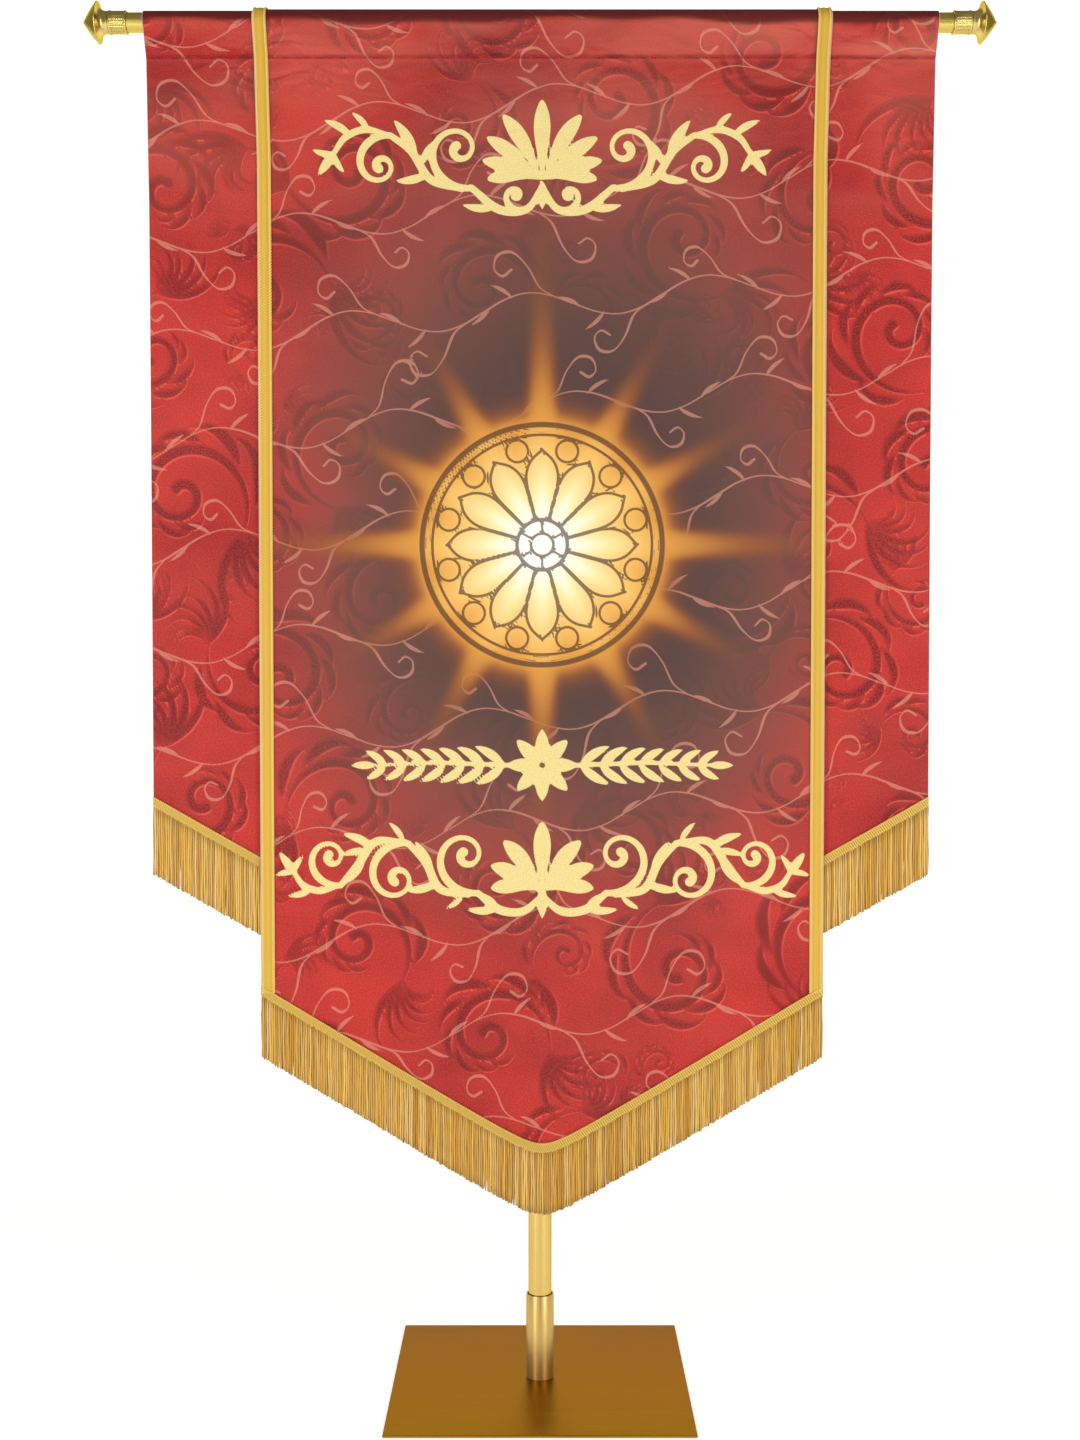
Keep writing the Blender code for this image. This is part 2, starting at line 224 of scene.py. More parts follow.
def pocketCurve():
    # The rod pocket's inner face as columns run, y, z, outward y, outward z
    end = np.array((-cloth["pocketRadius"] + touch, cloth["seamZ"]))
    back = np.array((cloth["pocketRadius"], pocketMiddle))
    guides = (end, end + cloth["flapStart"], back - (0, cloth["flapDrop"]), back)
    t = np.linspace(0, 1, 60)[:-1, None]
    weights = ((1 - t) ** 3, 3 * (1 - t) ** 2 * t, 3 * (1 - t) * t**2, t**3)
    flap = sum(w * g for w, g in zip(weights, guides))
    turn = np.linspace(0, math.pi, 81)[:, None]
    arc = np.hstack((cloth["pocketRadius"] * np.cos(turn),
                     pocketMiddle + cloth["pocketRadius"] * np.sin(turn)))
    line = np.vstack((flap, arc))
    ahead = np.gradient(line, axis=0)
    ahead /= np.linalg.norm(ahead, axis=1)[:, None]
    run = np.concatenate(([0], np.cumsum(np.linalg.norm(np.diff(line, axis=0), axis=1))))
    return np.column_stack((run, line, ahead[:, 1], -ahead[:, 0])), run[len(flap)]


pocket, flapRun = pocketCurve()
pocketRun = pocket[-1, 0]


def hang(panel, xTop, run, extra):
    # Points of the cloth: xTop along the bar from the panel's middle, run from the flap's sewn end
    y, z, outY, outZ = (np.interp(run, pocket[:, 0], pocket[:, i]) for i in (1, 2, 3, 4))
    below = np.maximum(run - pocketRun, 0)
    z = z - below
    body = below > 0
    outY = np.where(body, -1.0, outY)
    outZ = np.where(body, 0.0, outZ)
    away = np.where(body, lift(panel, z), lift(panel, np.full_like(z, 2.0))) + extra
    x = xTop * halfWidth(panel, z) / halfWidth(panel, stand["barZ"]) + panel["shift"]
    return np.stack((x, y + outY * away + sway(x, z) + 0 * xTop, z + outZ * away + 0 * xTop), -1)


def sideX(panel, xTop):
    return xTop * halfWidth(panel, panel["sideZ"]) / halfWidth(panel, stand["barZ"]) + panel["shift"]


def lowestRun(panel, xTop, below):
    # The run at which the cloth ends, below the top of the fringe's heading
    return pocketRun + pocketMiddle - headingZ(panel, sideX(panel, xTop)) + below


def newPiece(name, points, faces, materials, smooth=True, faceMaterials=None):
    mesh = bpy.data.meshes.new(name)
    mesh.from_pydata(points, [], faces)
    for material in materials:
        mesh.materials.append(material)
    if faceMaterials is not None:
        mesh.polygons.foreach_set("material_index", faceMaterials)
    if smooth:
        mesh.shade_smooth()
    mesh.update()
    piece = bpy.data.objects.new(name, mesh)
    bpy.context.scene.collection.objects.link(piece)
    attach(piece, "root")
    return piece


def setNumbers(piece, name, values):
    attribute = piece.data.attributes.new(name, "FLOAT", "POINT")
    attribute.data.foreach_set("value", np.asarray(values, np.float32).ravel())


def setPoints(piece, name, values):
    attribute = piece.data.attributes.new(name, "FLOAT_VECTOR", "POINT")
    attribute.data.foreach_set("vector", np.asarray(values, np.float32).ravel())


# The printed artwork: strokes laid on a sheet's flat grid as distances from their edges, in mm

far = 60.0


def windowOf(sheet, x0, x1, z0, z1):
    # The part of a sheet's grid that covers a box of the flat cloth, or None
    flatX, flatZ = sheet["flatX"], sheet["flatZ"]
    middleRow = flatX[len(flatX) // 2]
    slack = 0.010  # columns lean and rows fall towards the pointed end
    j0 = max(int(np.searchsorted(middleRow, x0)) - 3, 0)
    j1 = min(int(np.searchsorted(middleRow, x1)) + 3, len(middleRow))
    if j0 >= len(middleRow) or j1 <= 0 or j1 - j0 < 2:
        return None
    down = -flatZ[:, [j0, (j0 + j1) // 2, j1 - 1]]
    i0 = min(int(np.searchsorted(down[:, k], -(z1 + slack))) for k in range(3))
    i1 = max(int(np.searchsorted(down[:, k], -(z0 - slack))) for k in range(3))
    return (slice(i0, i1), slice(j0, j1)) if i1 - i0 > 1 else None


def paintStrokes(sheet, strokes, margin):
    # Each stroke is an array of dabs: x, height, half width, in metres. Gives each point's distance
    # from the nearest stroke's edge in mm, how far it is to one side of the stroke, in half widths,
    # and how much that side faces the upper left.
    flatX, flatZ = sheet["flatX"], sheet["flatZ"]
    edge = np.full(flatX.shape, far)
    side = np.full(flatX.shape, far)
    facing = np.zeros(flatX.shape)
    for dabs in strokes:
        ahead = np.gradient(dabs[:, :2], axis=0)
        ahead /= np.maximum(np.linalg.norm(ahead, axis=1), 1e-9)[:, None]
        for (x, z, half), (aheadX, aheadZ) in zip(dabs, ahead):
            reach = half + margin
            near = windowOf(sheet, x - reach, x + reach, z - reach, z + reach)
            if near is None:
                continue
            dx, dz = flatX[near] - x, flatZ[near] - z
            away = (np.hypot(dx, dz) - half) / mm
            closer = away < edge[near]
            np.copyto(edge[near], away, where=closer)
            np.copyto(side[near], (dx * aheadZ - dz * aheadX) / half, where=closer)
            np.copyto(facing[near], -0.6 * aheadZ - 0.8 * aheadX, where=closer)
    return edge, side, facing


def stroke(points, halves, step=0.0012):
    # Dabs along a line of points, with the half width interpolated along it
    points = np.asarray(points, float)
    lengths = np.concatenate(([0], np.cumsum(np.linalg.norm(np.diff(points, axis=0), axis=1))))
    count = max(int(lengths[-1] / step), 2)
    along = np.linspace(0, lengths[-1], count)
    spread = np.linspace(0, lengths[-1], len(halves))
    return np.column_stack((
        np.interp(along, lengths, points[:, 0]),
        np.interp(along, lengths, points[:, 1]),
        np.interp(along, spread, halves),
    ))


def curve(guides, count=24):
    # A smooth line through its guide points
    guides = [np.array(g, float) for g in guides]
    ends = [2 * guides[0] - guides[1], *guides, 2 * guides[-1] - guides[-2]]
    t = np.linspace(0, 1, count, endpoint=False)[:, None]
    parts = []
    for a, b, c, d in zip(ends, ends[1:], ends[2:], ends[3:]):
        parts.append(0.5 * (2 * b + (c - a) * t + (2 * a - 5 * b + 4 * c - d) * t**2
                            + (3 * b - a - 3 * c + d) * t**3))
    return np.vstack((*parts, guides[-1][None]))


def moved(strokes, x=0.0, z=0.0, turn=0.0, size=1.0, mirror=False):
    out = []
    c, s = math.cos(turn), math.sin(turn)
    for dabs in strokes:
        px, pz, half = dabs.T
        px = (-px if mirror else px) * size
        out.append(np.column_stack((x + c * px - s * pz * size, z + s * px + c * pz * size, half)))
    return out


def spiral(radius, turns, hand, start, halves, step=0.002):
    # Winds inwards from radius round the origin
    angle = np.linspace(0, 2 * math.pi * turns, 90)
    r = radius * np.exp(-0.23 * angle)
    line = np.column_stack((r * np.cos(start + hand * angle), r * np.sin(start + hand * angle)))
    return line, stroke(line, halves, step)


def leaf(length, width, bend, step=0.0015):
    # A pointed leaf along +x that bends to one side
    t = np.linspace(0, 1, 16)
    line = np.column_stack((length * t, bend * length * t**2))
    return stroke(line, width / 2 * np.sin(math.pi * (0.08 + 0.9 * t)) ** 0.8 * (1 - 0.25 * t), step)


def petal(length, width, bend, step=0.0015):
    # A round-headed lobe along +x, fullest near its head
    t = np.linspace(0, 1, 18)
    line = np.column_stack((length * t, bend * length * t**2.4))
    return stroke(line, width / 2 * (0.14 + 0.86 * np.sin(math.pi * (0.04 + 0.90 * t**1.7))), step)


def blade(length, bend, width, step=0.0028):
    # A long leaf that tapers to both ends and bends more towards its tip
    t = np.linspace(0, 1, 26)
    angle = bend * (0.4 * t + 0.6 * t**2)
    line = np.cumsum(np.column_stack((np.cos(angle), np.sin(angle))), axis=0) * length / 26
    return stroke(line, np.array((0.22, 0.7, 1.0, 0.95, 0.7, 0.4, 0.15)) * width / 2, step)


def acanthus(radius, hand, start, chance):
    # A spray of the damask, drawn as the sunk grounds between its leaves: a stem that winds inwards,
    # lobes along its outer side that follow it, and a fan of long blades from its root
    girths = np.array((0.2, 0.6, 1.0, 1.0, 0.8, 0.7, 1.0)) * 0.070 * radius
    line, stem = spiral(radius, 1.45, hand, start, girths, 0.0028)
    strokes = [stem]
    lobes = 8
    for i in range(lobes):
        at = int(3 + 52 * i / lobes)
        ahead = line[at + 1] - line[at]
        turn = math.atan2(ahead[1], ahead[0])
        outX, outZ = math.sin(turn) * hand, -math.cos(turn) * hand
        size = radius * (1.02 - 0.08 * i) * chance.uniform(0.85, 1.15)
        gap = radius * 0.10
        lobe = blade(size, hand * chance.uniform(1.3, 2.0), size * 0.165)
        strokes += moved([lobe], line[at][0] + outX * gap, line[at][1] + outZ * gap, turn - hand * 0.42)
    ahead = line[0] - line[1]
    turn = math.atan2(ahead[1], ahead[0])
    fans = 7
    for i in range(fans):
        size = radius * (1.40 - 0.11 * i) * chance.uniform(0.92, 1.08)
        swing = hand * (-0.45 + 0.21 * i)
        fan = blade(size, hand * (1.5 + 0.22 * i), size * 0.085)
        strokes += moved([fan], line[0][0], line[0][1], turn + swing)
    return strokes


damask = {"seed": 5, "largest": 0.098, "smallest": 0.024, "tries": 2600, "closeness": 0.80}


def damaskStrokes(halfSpan, low, high, seed):
    # Sprays of several sizes laid side by side until the ground is filled
    chance = random.Random(seed)
    places = []
    strokes = []
    for attempt in range(damask["tries"]):
        share = attempt / damask["tries"]
        radius = damask["largest"] + (damask["smallest"] - damask["largest"]) * share
        radius *= chance.uniform(0.9, 1.1)
        x = chance.uniform(-halfSpan, halfSpan)
        z = chance.uniform(low, high)
        hand = chance.choice((-1, 1))
        start = chance.uniform(0, 2 * math.pi)
        near = damask["closeness"]
        if any(math.hypot(x - px, z - pz) < near * (radius + pr) for px, pz, pr in places):
            continue
        places.append((x, z, radius))
        strokes += moved(acanthus(radius * 0.78, hand, start, chance), x, z)
    return strokes


vine = {"rowPitch": 0.118, "unit": 0.205, "rise": 0.034, "tendril": 0.058, "leaf": 0.026, "leafWidth": 0.0052,
        "thin": 0.0008, "thick": 0.0023, "seed": 9}


def penStroke(guides, weight=1.0):
    # A line with a pen's thick and thin: thickest where it goes down to the left
    line = curve(guides, 14)
    ahead = np.gradient(line, axis=0)
    swell = np.abs(np.sin(np.arctan2(ahead[:, 1], ahead[:, 0]) - 0.2)) ** 2.4
    halves = vine["thin"] + (vine["thick"] * weight - vine["thin"]) * swell
    return stroke(line, halves, 0.0010)


def tendril(length, side, weight):
    # A shoot along +x that curls back into an open eye
    guides = ((0, 0), (0.30, 0.10), (0.62, 0.42), (0.95, 0.60), (1.20, 0.48), (1.20, 0.22), (1.02, 0.13),
              (0.90, 0.27))
    return penStroke([(length * x, side * length * z) for x, z in guides], weight)


def vineUnit(chance):
    # One wave of the vine: its stem, its tendrils that curl and its narrow leaves
    unit, rise = vine["unit"], vine["rise"]
    stem = [penStroke([(unit * t, rise * 0.5 * math.sin(2 * math.pi * t)) for t in np.linspace(0, 1, 9)])]
    tendrils, leaves = [], []
    for side, at in ((1, 0.10), (-1, 0.60)):
        root = (unit * at, rise * 0.5 * math.sin(2 * math.pi * at))
        size = vine["tendril"] * chance.uniform(0.8, 1.15)
        tendrils += moved([tendril(size, side, 0.8)], *root, side * chance.uniform(0.25, 0.5))
    for side, at in ((1, 0.34), (-1, 0.47), (-1, 0.84), (1, 0.97)):
        root = (unit * at, rise * 0.5 * math.sin(2 * math.pi * at))
        turn = side * chance.uniform(0.7, 1.0)
        leaves += moved([leaf(vine["leaf"], vine["leafWidth"], -0.30 * side, 0.001)], *root, turn)
    return stem, tendrils, leaves


def vineStrokes(halfSpan, low, high, seed):
    chance = random.Random(seed)
    layers = ([], [], [])
    tilt = 0.10
    row = 0
    z = high
    while z > low:
        x = -halfSpan - vine["unit"] * chance.uniform(0.1, 0.9)
        mirror = bool(row % 2)
        while x < halfSpan:
            at = x + (vine["unit"] if mirror else 0)
            for layer, strokes in zip(layers, vineUnit(chance)):
                layer += moved(strokes, at, z + tilt * at, tilt, 1.0, mirror)
            x += vine["unit"]
        z -= vine["rowPitch"]
        row += 1
    return dict(zip(("vine", "tendril", "vineLeaf"), layers))


def mirrored(strokes):
    return strokes + moved(strokes, mirror=True)


def volute(x, z, radius, hand, weight=0.0046):
    # A coil met from the left: at its foot when it winds to the left, at its head when it winds back
    halves = np.array((0.75, 1.0, 0.85, 0.62, 0.55, 1.15)) * weight
    _, coil = spiral(radius, 1.45, hand, -1.87 * hand, halves, 0.001)
    return moved([coil], x, z)


def crestStrokes():
    # The top ornament: a palmette between two running scrolls, all of it gold
    strokes = []
    for i in range(5):
        size = 0.086 - 0.0070 * i**1.25
        turn = math.pi / 2 - 0.36 * i
        strokes += moved([petal(size, 0.0190 - 0.0011 * i, -0.16 if i else 0.0)], 0.0035 * i, -0.024, turn)
    strokes += moved([leaf(0.030, 0.012, 0.0)], 0.0, -0.030, -math.pi / 2)
    strokes += volute(0.030, -0.044, 0.017, 1, 0.0036)
    strokes.append(stroke(curve([(0.0, -0.034), (0.018, -0.060), (0.050, -0.060), (0.0817, -0.035)]),
                          (0.0030, 0.0044, 0.0050, 0.0036)))
    strokes += volute(0.095, 0.008, 0.046, 1)
    strokes.append(stroke(curve([(0.092, -0.038), (0.128, -0.026), (0.150, 0.006), (0.1743, 0.0245)]),
                          (0.0024, 0.0046, 0.0046, 0.0034)))
    strokes += volute(0.185, -0.010, 0.036, -1)
    strokes.append(stroke(curve([(0.178, 0.026), (0.204, 0.031), (0.226, 0.022), (0.239, 0.004)]),
                          (0.0020, 0.0040, 0.0040, 0.0028)))
    strokes += bud(0.239, 0.004, -0.95, 0.031)
    for x, z, turn, size, bend in (
        (0.056, -0.058, -0.2, 0.034, 0.3), (0.060, -0.056, 1.0, 0.030, -0.3), (0.132, -0.020, -0.5, 0.036,
                                                                               0.3),
        (0.138, -0.008, 1.9, 0.034, 0.3), (0.146, 0.004, 1.2, 0.044, -0.2), (0.221, 0.025, 0.8, 0.032, -0.3),
        (0.200, 0.031, 1.1, 0.026, -0.3),
    ):
        strokes += moved([leaf(size, size * 0.30, bend)], x, z, turn)
    return mirrored(strokes)


def bud(x, z, turn, size):
    # Three leaves that end a scroll, the outer two bent away
    strokes = moved([leaf(size, size * 0.38, 0.0, 0.001)], x, z, turn)
    for side in (1, -1):
        strokes += moved([leaf(size * 0.74, size * 0.26, 0.42 * side, 0.001)], x, z, turn + 0.72 * side)
    return strokes


def rosette(x, z, radius, petals, turn=0.0):
    strokes = []
    for i in range(petals):
        angle = turn + 2 * math.pi * i / petals
        root = (x + radius * 0.16 * math.cos(angle), z + radius * 0.16 * math.sin(angle))
        strokes += moved([leaf(radius * 0.88, radius * 3.6 / petals, 0.0, 0.001)], *root, angle)
    return strokes


def laurelStrokes():
    # The middle row: a rosette with a laurel branch to each side
    strokes = [stroke([(0.040, 0.0), (0.120, 0.003), (0.196, 0.0)], (0.0026, 0.0024, 0.0018))]
    for i in range(7):
        x = 0.046 + 0.0225 * i
        size = 0.036 - 0.0016 * i
        for side in (1, -1):
            strokes += moved([leaf(size, 0.0118 - 0.0004 * i, -0.28 * side, 0.001)], x, 0.001 * side,
                             side * 0.86)
    strokes += moved([leaf(0.026, 0.0100, 0.0, 0.001)], 0.194, 0.0)
    return mirrored(strokes) + rosette(0, 0, 0.039, 8)


def friezeStrokes():
    # The lowest ornament: a rinceau that runs both ways from a spray of leaves
    strokes = []
    for i in range(4):
        turn = math.pi / 2 - 0.46 * i
        strokes += moved([petal(0.074 - 0.009 * i, 0.0200 - 0.0012 * i, -0.18 if i else 0.0)], 0.003 * i,
                         -0.026, turn)
    strokes += moved([leaf(0.034, 0.0130, 0.0)], 0.0, -0.026, -math.pi / 2)
    strokes.append(stroke(curve([(0.0, -0.034), (0.022, -0.052), (0.050, -0.050), (0.074, -0.031)]),
                          (0.0030, 0.0046, 0.0050, 0.0036)))
    strokes += volute(0.0873, 0.012, 0.045, 1)
    strokes.append(stroke(curve([(0.084, -0.034), (0.118, -0.026), (0.134, 0.004), (0.1545, 0.0265)]),
                          (0.0024, 0.0048, 0.0048, 0.0034)))
    strokes += volute(0.167, -0.014, 0.0425, -1)
    strokes.append(stroke(curve([(0.158, 0.028), (0.192, 0.028), (0.212, 0.002), (0.2325, -0.0225)]),
                          (0.0024, 0.0046, 0.0046, 0.0034)))
    strokes += volute(0.243, 0.010, 0.034, 1, 0.0042)
    strokes.append(stroke(curve([(0.236, -0.024), (0.258, -0.0285), (0.276, -0.022), (0.286, -0.008)]),
                          (0.0020, 0.0040, 0.0038, 0.0026)))
    strokes += bud(0.286, -0.008, 0.95, 0.029)
    for x, z, turn, size, bend in (
        (0.052, -0.049, -0.3, 0.034, 0.3), (0.052, -0.046, 0.8, 0.028, -0.3), (0.122, -0.020, -0.5, 0.036,
                                                                               0.3),
        (0.128, -0.008, 1.3, 0.040, -0.2), (0.196, 0.022, 0.7, 0.036, -0.3), (0.206, 0.010, -1.2, 0.034, 0.2),
        (0.202, 0.018, 0.0, 0.030, -0.2), (0.266, -0.027, -0.55, 0.028, 0.3), (0.160, 0.029, 1.2, 0.026,
                                                                               -0.3),
        (0.092, -0.035, -0.9, 0.024, 0.3),
    ):
        strokes += moved([leaf(size, size * 0.30, bend)], x, z, turn)
    return mirrored(strokes)


rose = {"z": 0.9725, "radius": 0.138, "lights": 12, "lead": 0.0016, "hub": 0.21, "head": 0.66,
        "roundels": 0.805, "roundel": 0.092, "rim": 0.915}


def ring(x, z, r, half):
    t = np.linspace(0, 2 * math.pi, max(int(r / 0.0005), 24))
    return stroke(np.column_stack((x + r * np.cos(t), z + r * np.sin(t))), (half, half), 0.0010)


def roseStrokes():
    # A round window: pointed lights about a hub, a roundel between every two heads, and a double rim
    radius, lights, lead = rose["radius"], rose["lights"], rose["lead"]
    strokes = [ring(0, 0, radius, lead * 2.0), ring(0, 0, radius * rose["rim"], lead),
               ring(0, 0, radius * rose["hub"], lead * 1.3), ring(0, 0, radius * rose["hub"] * 0.45, lead)]
    half = math.pi / lights
    for i in range(lights):
        turn = 2 * math.pi * i / lights
        if i % 2:
            tips = ((rose["hub"] * 0.45, turn), (rose["hub"], turn))
            strokes.append(stroke([(radius * r * math.cos(a), radius * r * math.sin(a)) for r, a in tips],
                                  (lead * 0.8, lead * 0.8), 0.0010))
        for side in (-1, 1):
            outline = [(rose["hub"], half * 0.94), (0.36, half * 0.94), (rose["head"] - 0.14, half * 0.94),
                       (rose["head"] - 0.04, half * 0.80), (rose["head"] + 0.05, half * 0.48),
                       (rose["head"] + 0.13, 0.0)]
            places = [(radius * r * math.cos(turn + side * w), radius * r * math.sin(turn + side * w))
                      for r, w in outline]
            strokes.append(stroke(curve(places, 10), (lead, lead), 0.0010))
        away = radius * rose["roundels"]
        strokes.append(ring(away * math.cos(turn + half), away * math.sin(turn + half),
                            radius * rose["roundel"], lead * 0.9))
    return strokes


ornaments = {"crest": 1.4172, "laurel": 0.7189, "frieze": 0.6025}


# Cloth materials

print("the artwork's strokes are ready to lay")

# the inks include the dark red of the stitches and of the painted shade at the pocket's top, and a pale red
# for painted sheen
inks = {
    "lightRed": "#CE342C", "deepRed": "#A52424", "channel": "#621416", "edge": "#E6584C",
    "dusty": "#6C5046", "plum": "#443432", "lead": "#4A2C22", "vine": "#E29A84", "band": "#5C1614",
    "paintedSheen": "#CC6E5C", "gold": "#F0DC96", "goldShade": "#D6BA70", "selvedge": "#F2D8D0",
}


def maskOf(tree, distance, hard, soft):
    # 1 inside a stroke and 0 outside it, from its distance in mm
    return addNode(tree, "MapRange", {"From Min": hard, "From Max": soft, "To Min": 1.0, "To Max": 0.0},
                   {"Value": distance}, interpolation_type="SMOOTHSTEP").outputs["Result"]


def lineMask(tree, beside, edge):
    # 1 on a thin line: within its half width to either side, and near it
    width = addNode(tree, "Math", None, {0: beside}, operation="ABSOLUTE").outputs[0]
    line = times(tree, maskOf(tree, width, 0.75, 1.20), maskOf(tree, edge, 0.9, 1.8))
    return addNode(tree, "Math", None, {0: line, 1: maskOf(tree, edge, -1.1, 0.0)},
                   operation="MAXIMUM").outputs[0]


def layInk(tree, under, ink, share):
    links = {0: share, colourA: under}
    values = {}
    if isinstance(ink, str):
        values[colourB] = linear(inks[ink])
    else:
        links[colourB] = ink
    return addNode(tree, "Mix", values, links, data_type="RGBA").outputs[colourOut]


def times(tree, a, b):
    values, links = {}, {0: a}
    if isinstance(b, float):
        values[1] = b
    else:
        links[1] = b
    return addNode(tree, "Math", values, links, operation="MULTIPLY", use_clamp=True).outputs[0]


# The pocket's seam, and the wrinkles beside the places where the braid crosses it
seam = {"stitch": 0.0034, "sunkShade": 0.0050, "pucker": 0.016}
creases = {"beside": (0.300, 0.345), "reach": 0.030, "height": 0.030, "plain": 0.22}


def makePrintedSatin(name, hasPicture):
    # Polyester satin, dye printed: soft sheen with painted sheen patches, a damask in two reds, painted shade
    # along the pocket's top and seam, and a weave that only just shows
    material, tree, shader = startMaterial(name)
    flat = addNode(tree, "Attribute", attribute_name="flat").outputs["Vector"]

    def layer(attribute):
        return addNode(tree, "Attribute", attribute_name=attribute).outputs["Fac"]

    clouds = addNode(tree, "TexNoise", {"Scale": 5.5, "Detail": 3.0, "Roughness": 0.55}, {"Vector": flat})
    grit = addNode(tree, "TexNoise", {"Scale": 620.0, "Detail": 2.0}, {"Vector": flat})
    drift = addNode(tree, "TexNoise", {"Scale": 3.2, "Detail": 1.0}, {"Vector": flat})
    # the damask's grounds are stippled; the dots are drawn 2 mm apart
    speckle = addNode(tree, "TexNoise", {"Scale": 560.0, "Detail": 1.5, "Roughness": 0.5}, {"Vector": flat})
    cloudShare = addNode(tree, "MapRange", {"From Min": 0.36, "From Max": 0.64}, {"Value": clouds.outputs[0]})
    gritShare = addNode(tree, "MapRange", {"From Min": 0.43, "From Max": 0.57}, {"Value": grit.outputs[0]})
    ink = addNode(tree, "Mix", {colourA: linear(inks["deepRed"]), colourB: linear(inks["lightRed"])},
                  {0: cloudShare.outputs[0]}, data_type="RGBA").outputs[colourOut]
    grainShare = addNode(tree, "MapRange", {"From Min": 0.42, "From Max": 0.56, "To Min": 0.30},
                         {"Value": speckle.outputs[0]}).outputs[0]
    ink = layInk(tree, ink, "channel", times(tree, gritShare.outputs[0], 0.30))
    # a grain in light red, as the print has all over
    fleck = addNode(tree, "TexNoise", {"Scale": 640.0, "Detail": 2.0, "Roughness": 0.7}, {"Vector": flat})
    fleckShare = addNode(tree, "MapRange", {"From Min": 0.50, "From Max": 0.66}, {"Value": fleck.outputs[0]})
    ink = layInk(tree, ink, "edge", times(tree, fleckShare.outputs[0], 0.34))
    # where the drift is high the grounds are crisp and stippled, elsewhere they are blurred
    crispness = addNode(tree, "MapRange", {"From Min": 0.38, "From Max": 0.50},
                        {"Value": drift.outputs[0]}).outputs[0]
    ragged = addNode(tree, "Math", {1: 7.0, 2: -3.5}, {0: speckle.outputs[0]},
                     operation="MULTIPLY_ADD").outputs[0]
    dithered = addNode(tree, "Math", None, {0: layer("damask"), 1: ragged}, operation="ADD").outputs[0]
    crisp = times(tree, maskOf(tree, dithered, -1.4, 1.2), grainShare)
    blurred = times(tree, maskOf(tree, layer("damask"), -3.2, 4.0), 0.74)
    dark = addNode(tree, "Mix", None, {0: crispness, 2: blurred, 3: crisp}).outputs[0]
    ink = layInk(tree, ink, "channel", times(tree, dark, 0.92))
    # the lower right edge of each sunk leaf catches the light
    beside = layer("damaskSide")
    width = addNode(tree, "Math", None, {0: beside}, operation="ABSOLUTE").outputs[0]
    bead = times(tree, maskOf(tree, width, 1.35, 1.75), maskOf(tree, width, 1.15, 0.85))
    bead = times(tree, bead, maskOf(tree, layer("damask"), 1.4, 3.2))
    whichSide = addNode(tree, "Math", None, {0: beside}, operation="SIGN").outputs[0]
    towards = addNode(tree, "Math", None, {0: whichSide, 1: layer("damaskFacing")},
                      operation="MULTIPLY").outputs[0]
    away = addNode(tree, "Math", {1: -1.0}, {0: towards}, operation="MULTIPLY", use_clamp=True).outputs[0]
    ink = layInk(tree, ink, "edge", times(tree, times(tree, bead, away), 0.74))
    ink = layInk(tree, ink, "channel", times(tree, times(tree, bead, towards), 0.32))
    # painted sheen: paler patches painted into the colour that slant across the upper cloth, strongest over
    # the pocket
    slanted = addNode(tree, "Mapping", {"Scale": (3.2, 9.0, 1.0), "Rotation": (0, 0, 0.55)}, {"Vector": flat})
    sheen = addNode(tree, "TexNoise", {"Scale": 1.0, "Detail": 2.5, "Distortion": 0.6},
                    {"Vector": slanted.outputs[0]})
    patches = addNode(tree, "MapRange", {"From Min": 0.40, "From Max": 0.64}, {"Value": sheen.outputs[0]})
    ink = layInk(tree, ink, "paintedSheen", times(tree, times(tree, patches.outputs[0], layer("paintedSheen")), 0.58))
    if hasPicture:
        ink = layInk(tree, ink, "dusty", times(tree, layer("dusk"), 0.92))
        ink = layInk(tree, ink, "plum", times(tree, layer("night"), 0.75))
    stems = lineMask(tree, layer("vineSide"), layer("vine"))
    shoots = lineMask(tree, layer("tendrilSide"), layer("tendril"))
    leaves = lineMask(tree, layer("vineLeafSide"), layer("vineLeaf"))
    pen = addNode(tree, "Math", None, {0: stems, 1: shoots}, operation="MAXIMUM").outputs[0]
    pen = addNode(tree, "Math", None, {0: pen, 1: leaves}, operation="MAXIMUM").outputs[0]
    ink = layInk(tree, ink, "vine", times(tree, pen, 0.46))
    if hasPicture:
        glow = addNode(tree, "ValToRGB", None, {0: layer("glow")})
        ramp = glow.color_ramp.elements
        ramp[0].position, ramp[0].color = 0.0, linear("#6A3A26")
        ramp[1].position, ramp[1].color = 0.96, linear("#FFFDF2")
        for place, colour in ((0.20, "#A8602A"), (0.42, "#DC9A44"), (0.60, "#F2BE66"), (0.80, "#FCE6A6")):
            element = ramp.new(place)
            element.color = linear(colour)
        glowMask = addNode(tree, "MapRange", {"From Min": 0.01, "From Max": 0.36}, {"Value": layer("glow")},
                           interpolation_type="SMOOTHSTEP")
        ink = layInk(tree, ink, glow.outputs["Color"], glowMask.outputs[0])
        lead = times(tree, lineMask(tree, layer("tracerySide"), layer("tracery")), 0.80)
        ink = layInk(tree, ink, "lead", lead)
        paleGold = addNode(tree, "RGB")
        paleGold.outputs[0].default_value = linear(inks["gold"])
        gold = layInk(tree, paleGold.outputs[0], "goldShade", times(tree, gritShare.outputs[0], 0.36))
        ink = layInk(tree, ink, gold, maskOf(tree, layer("ornament"), -0.3, 0.5))
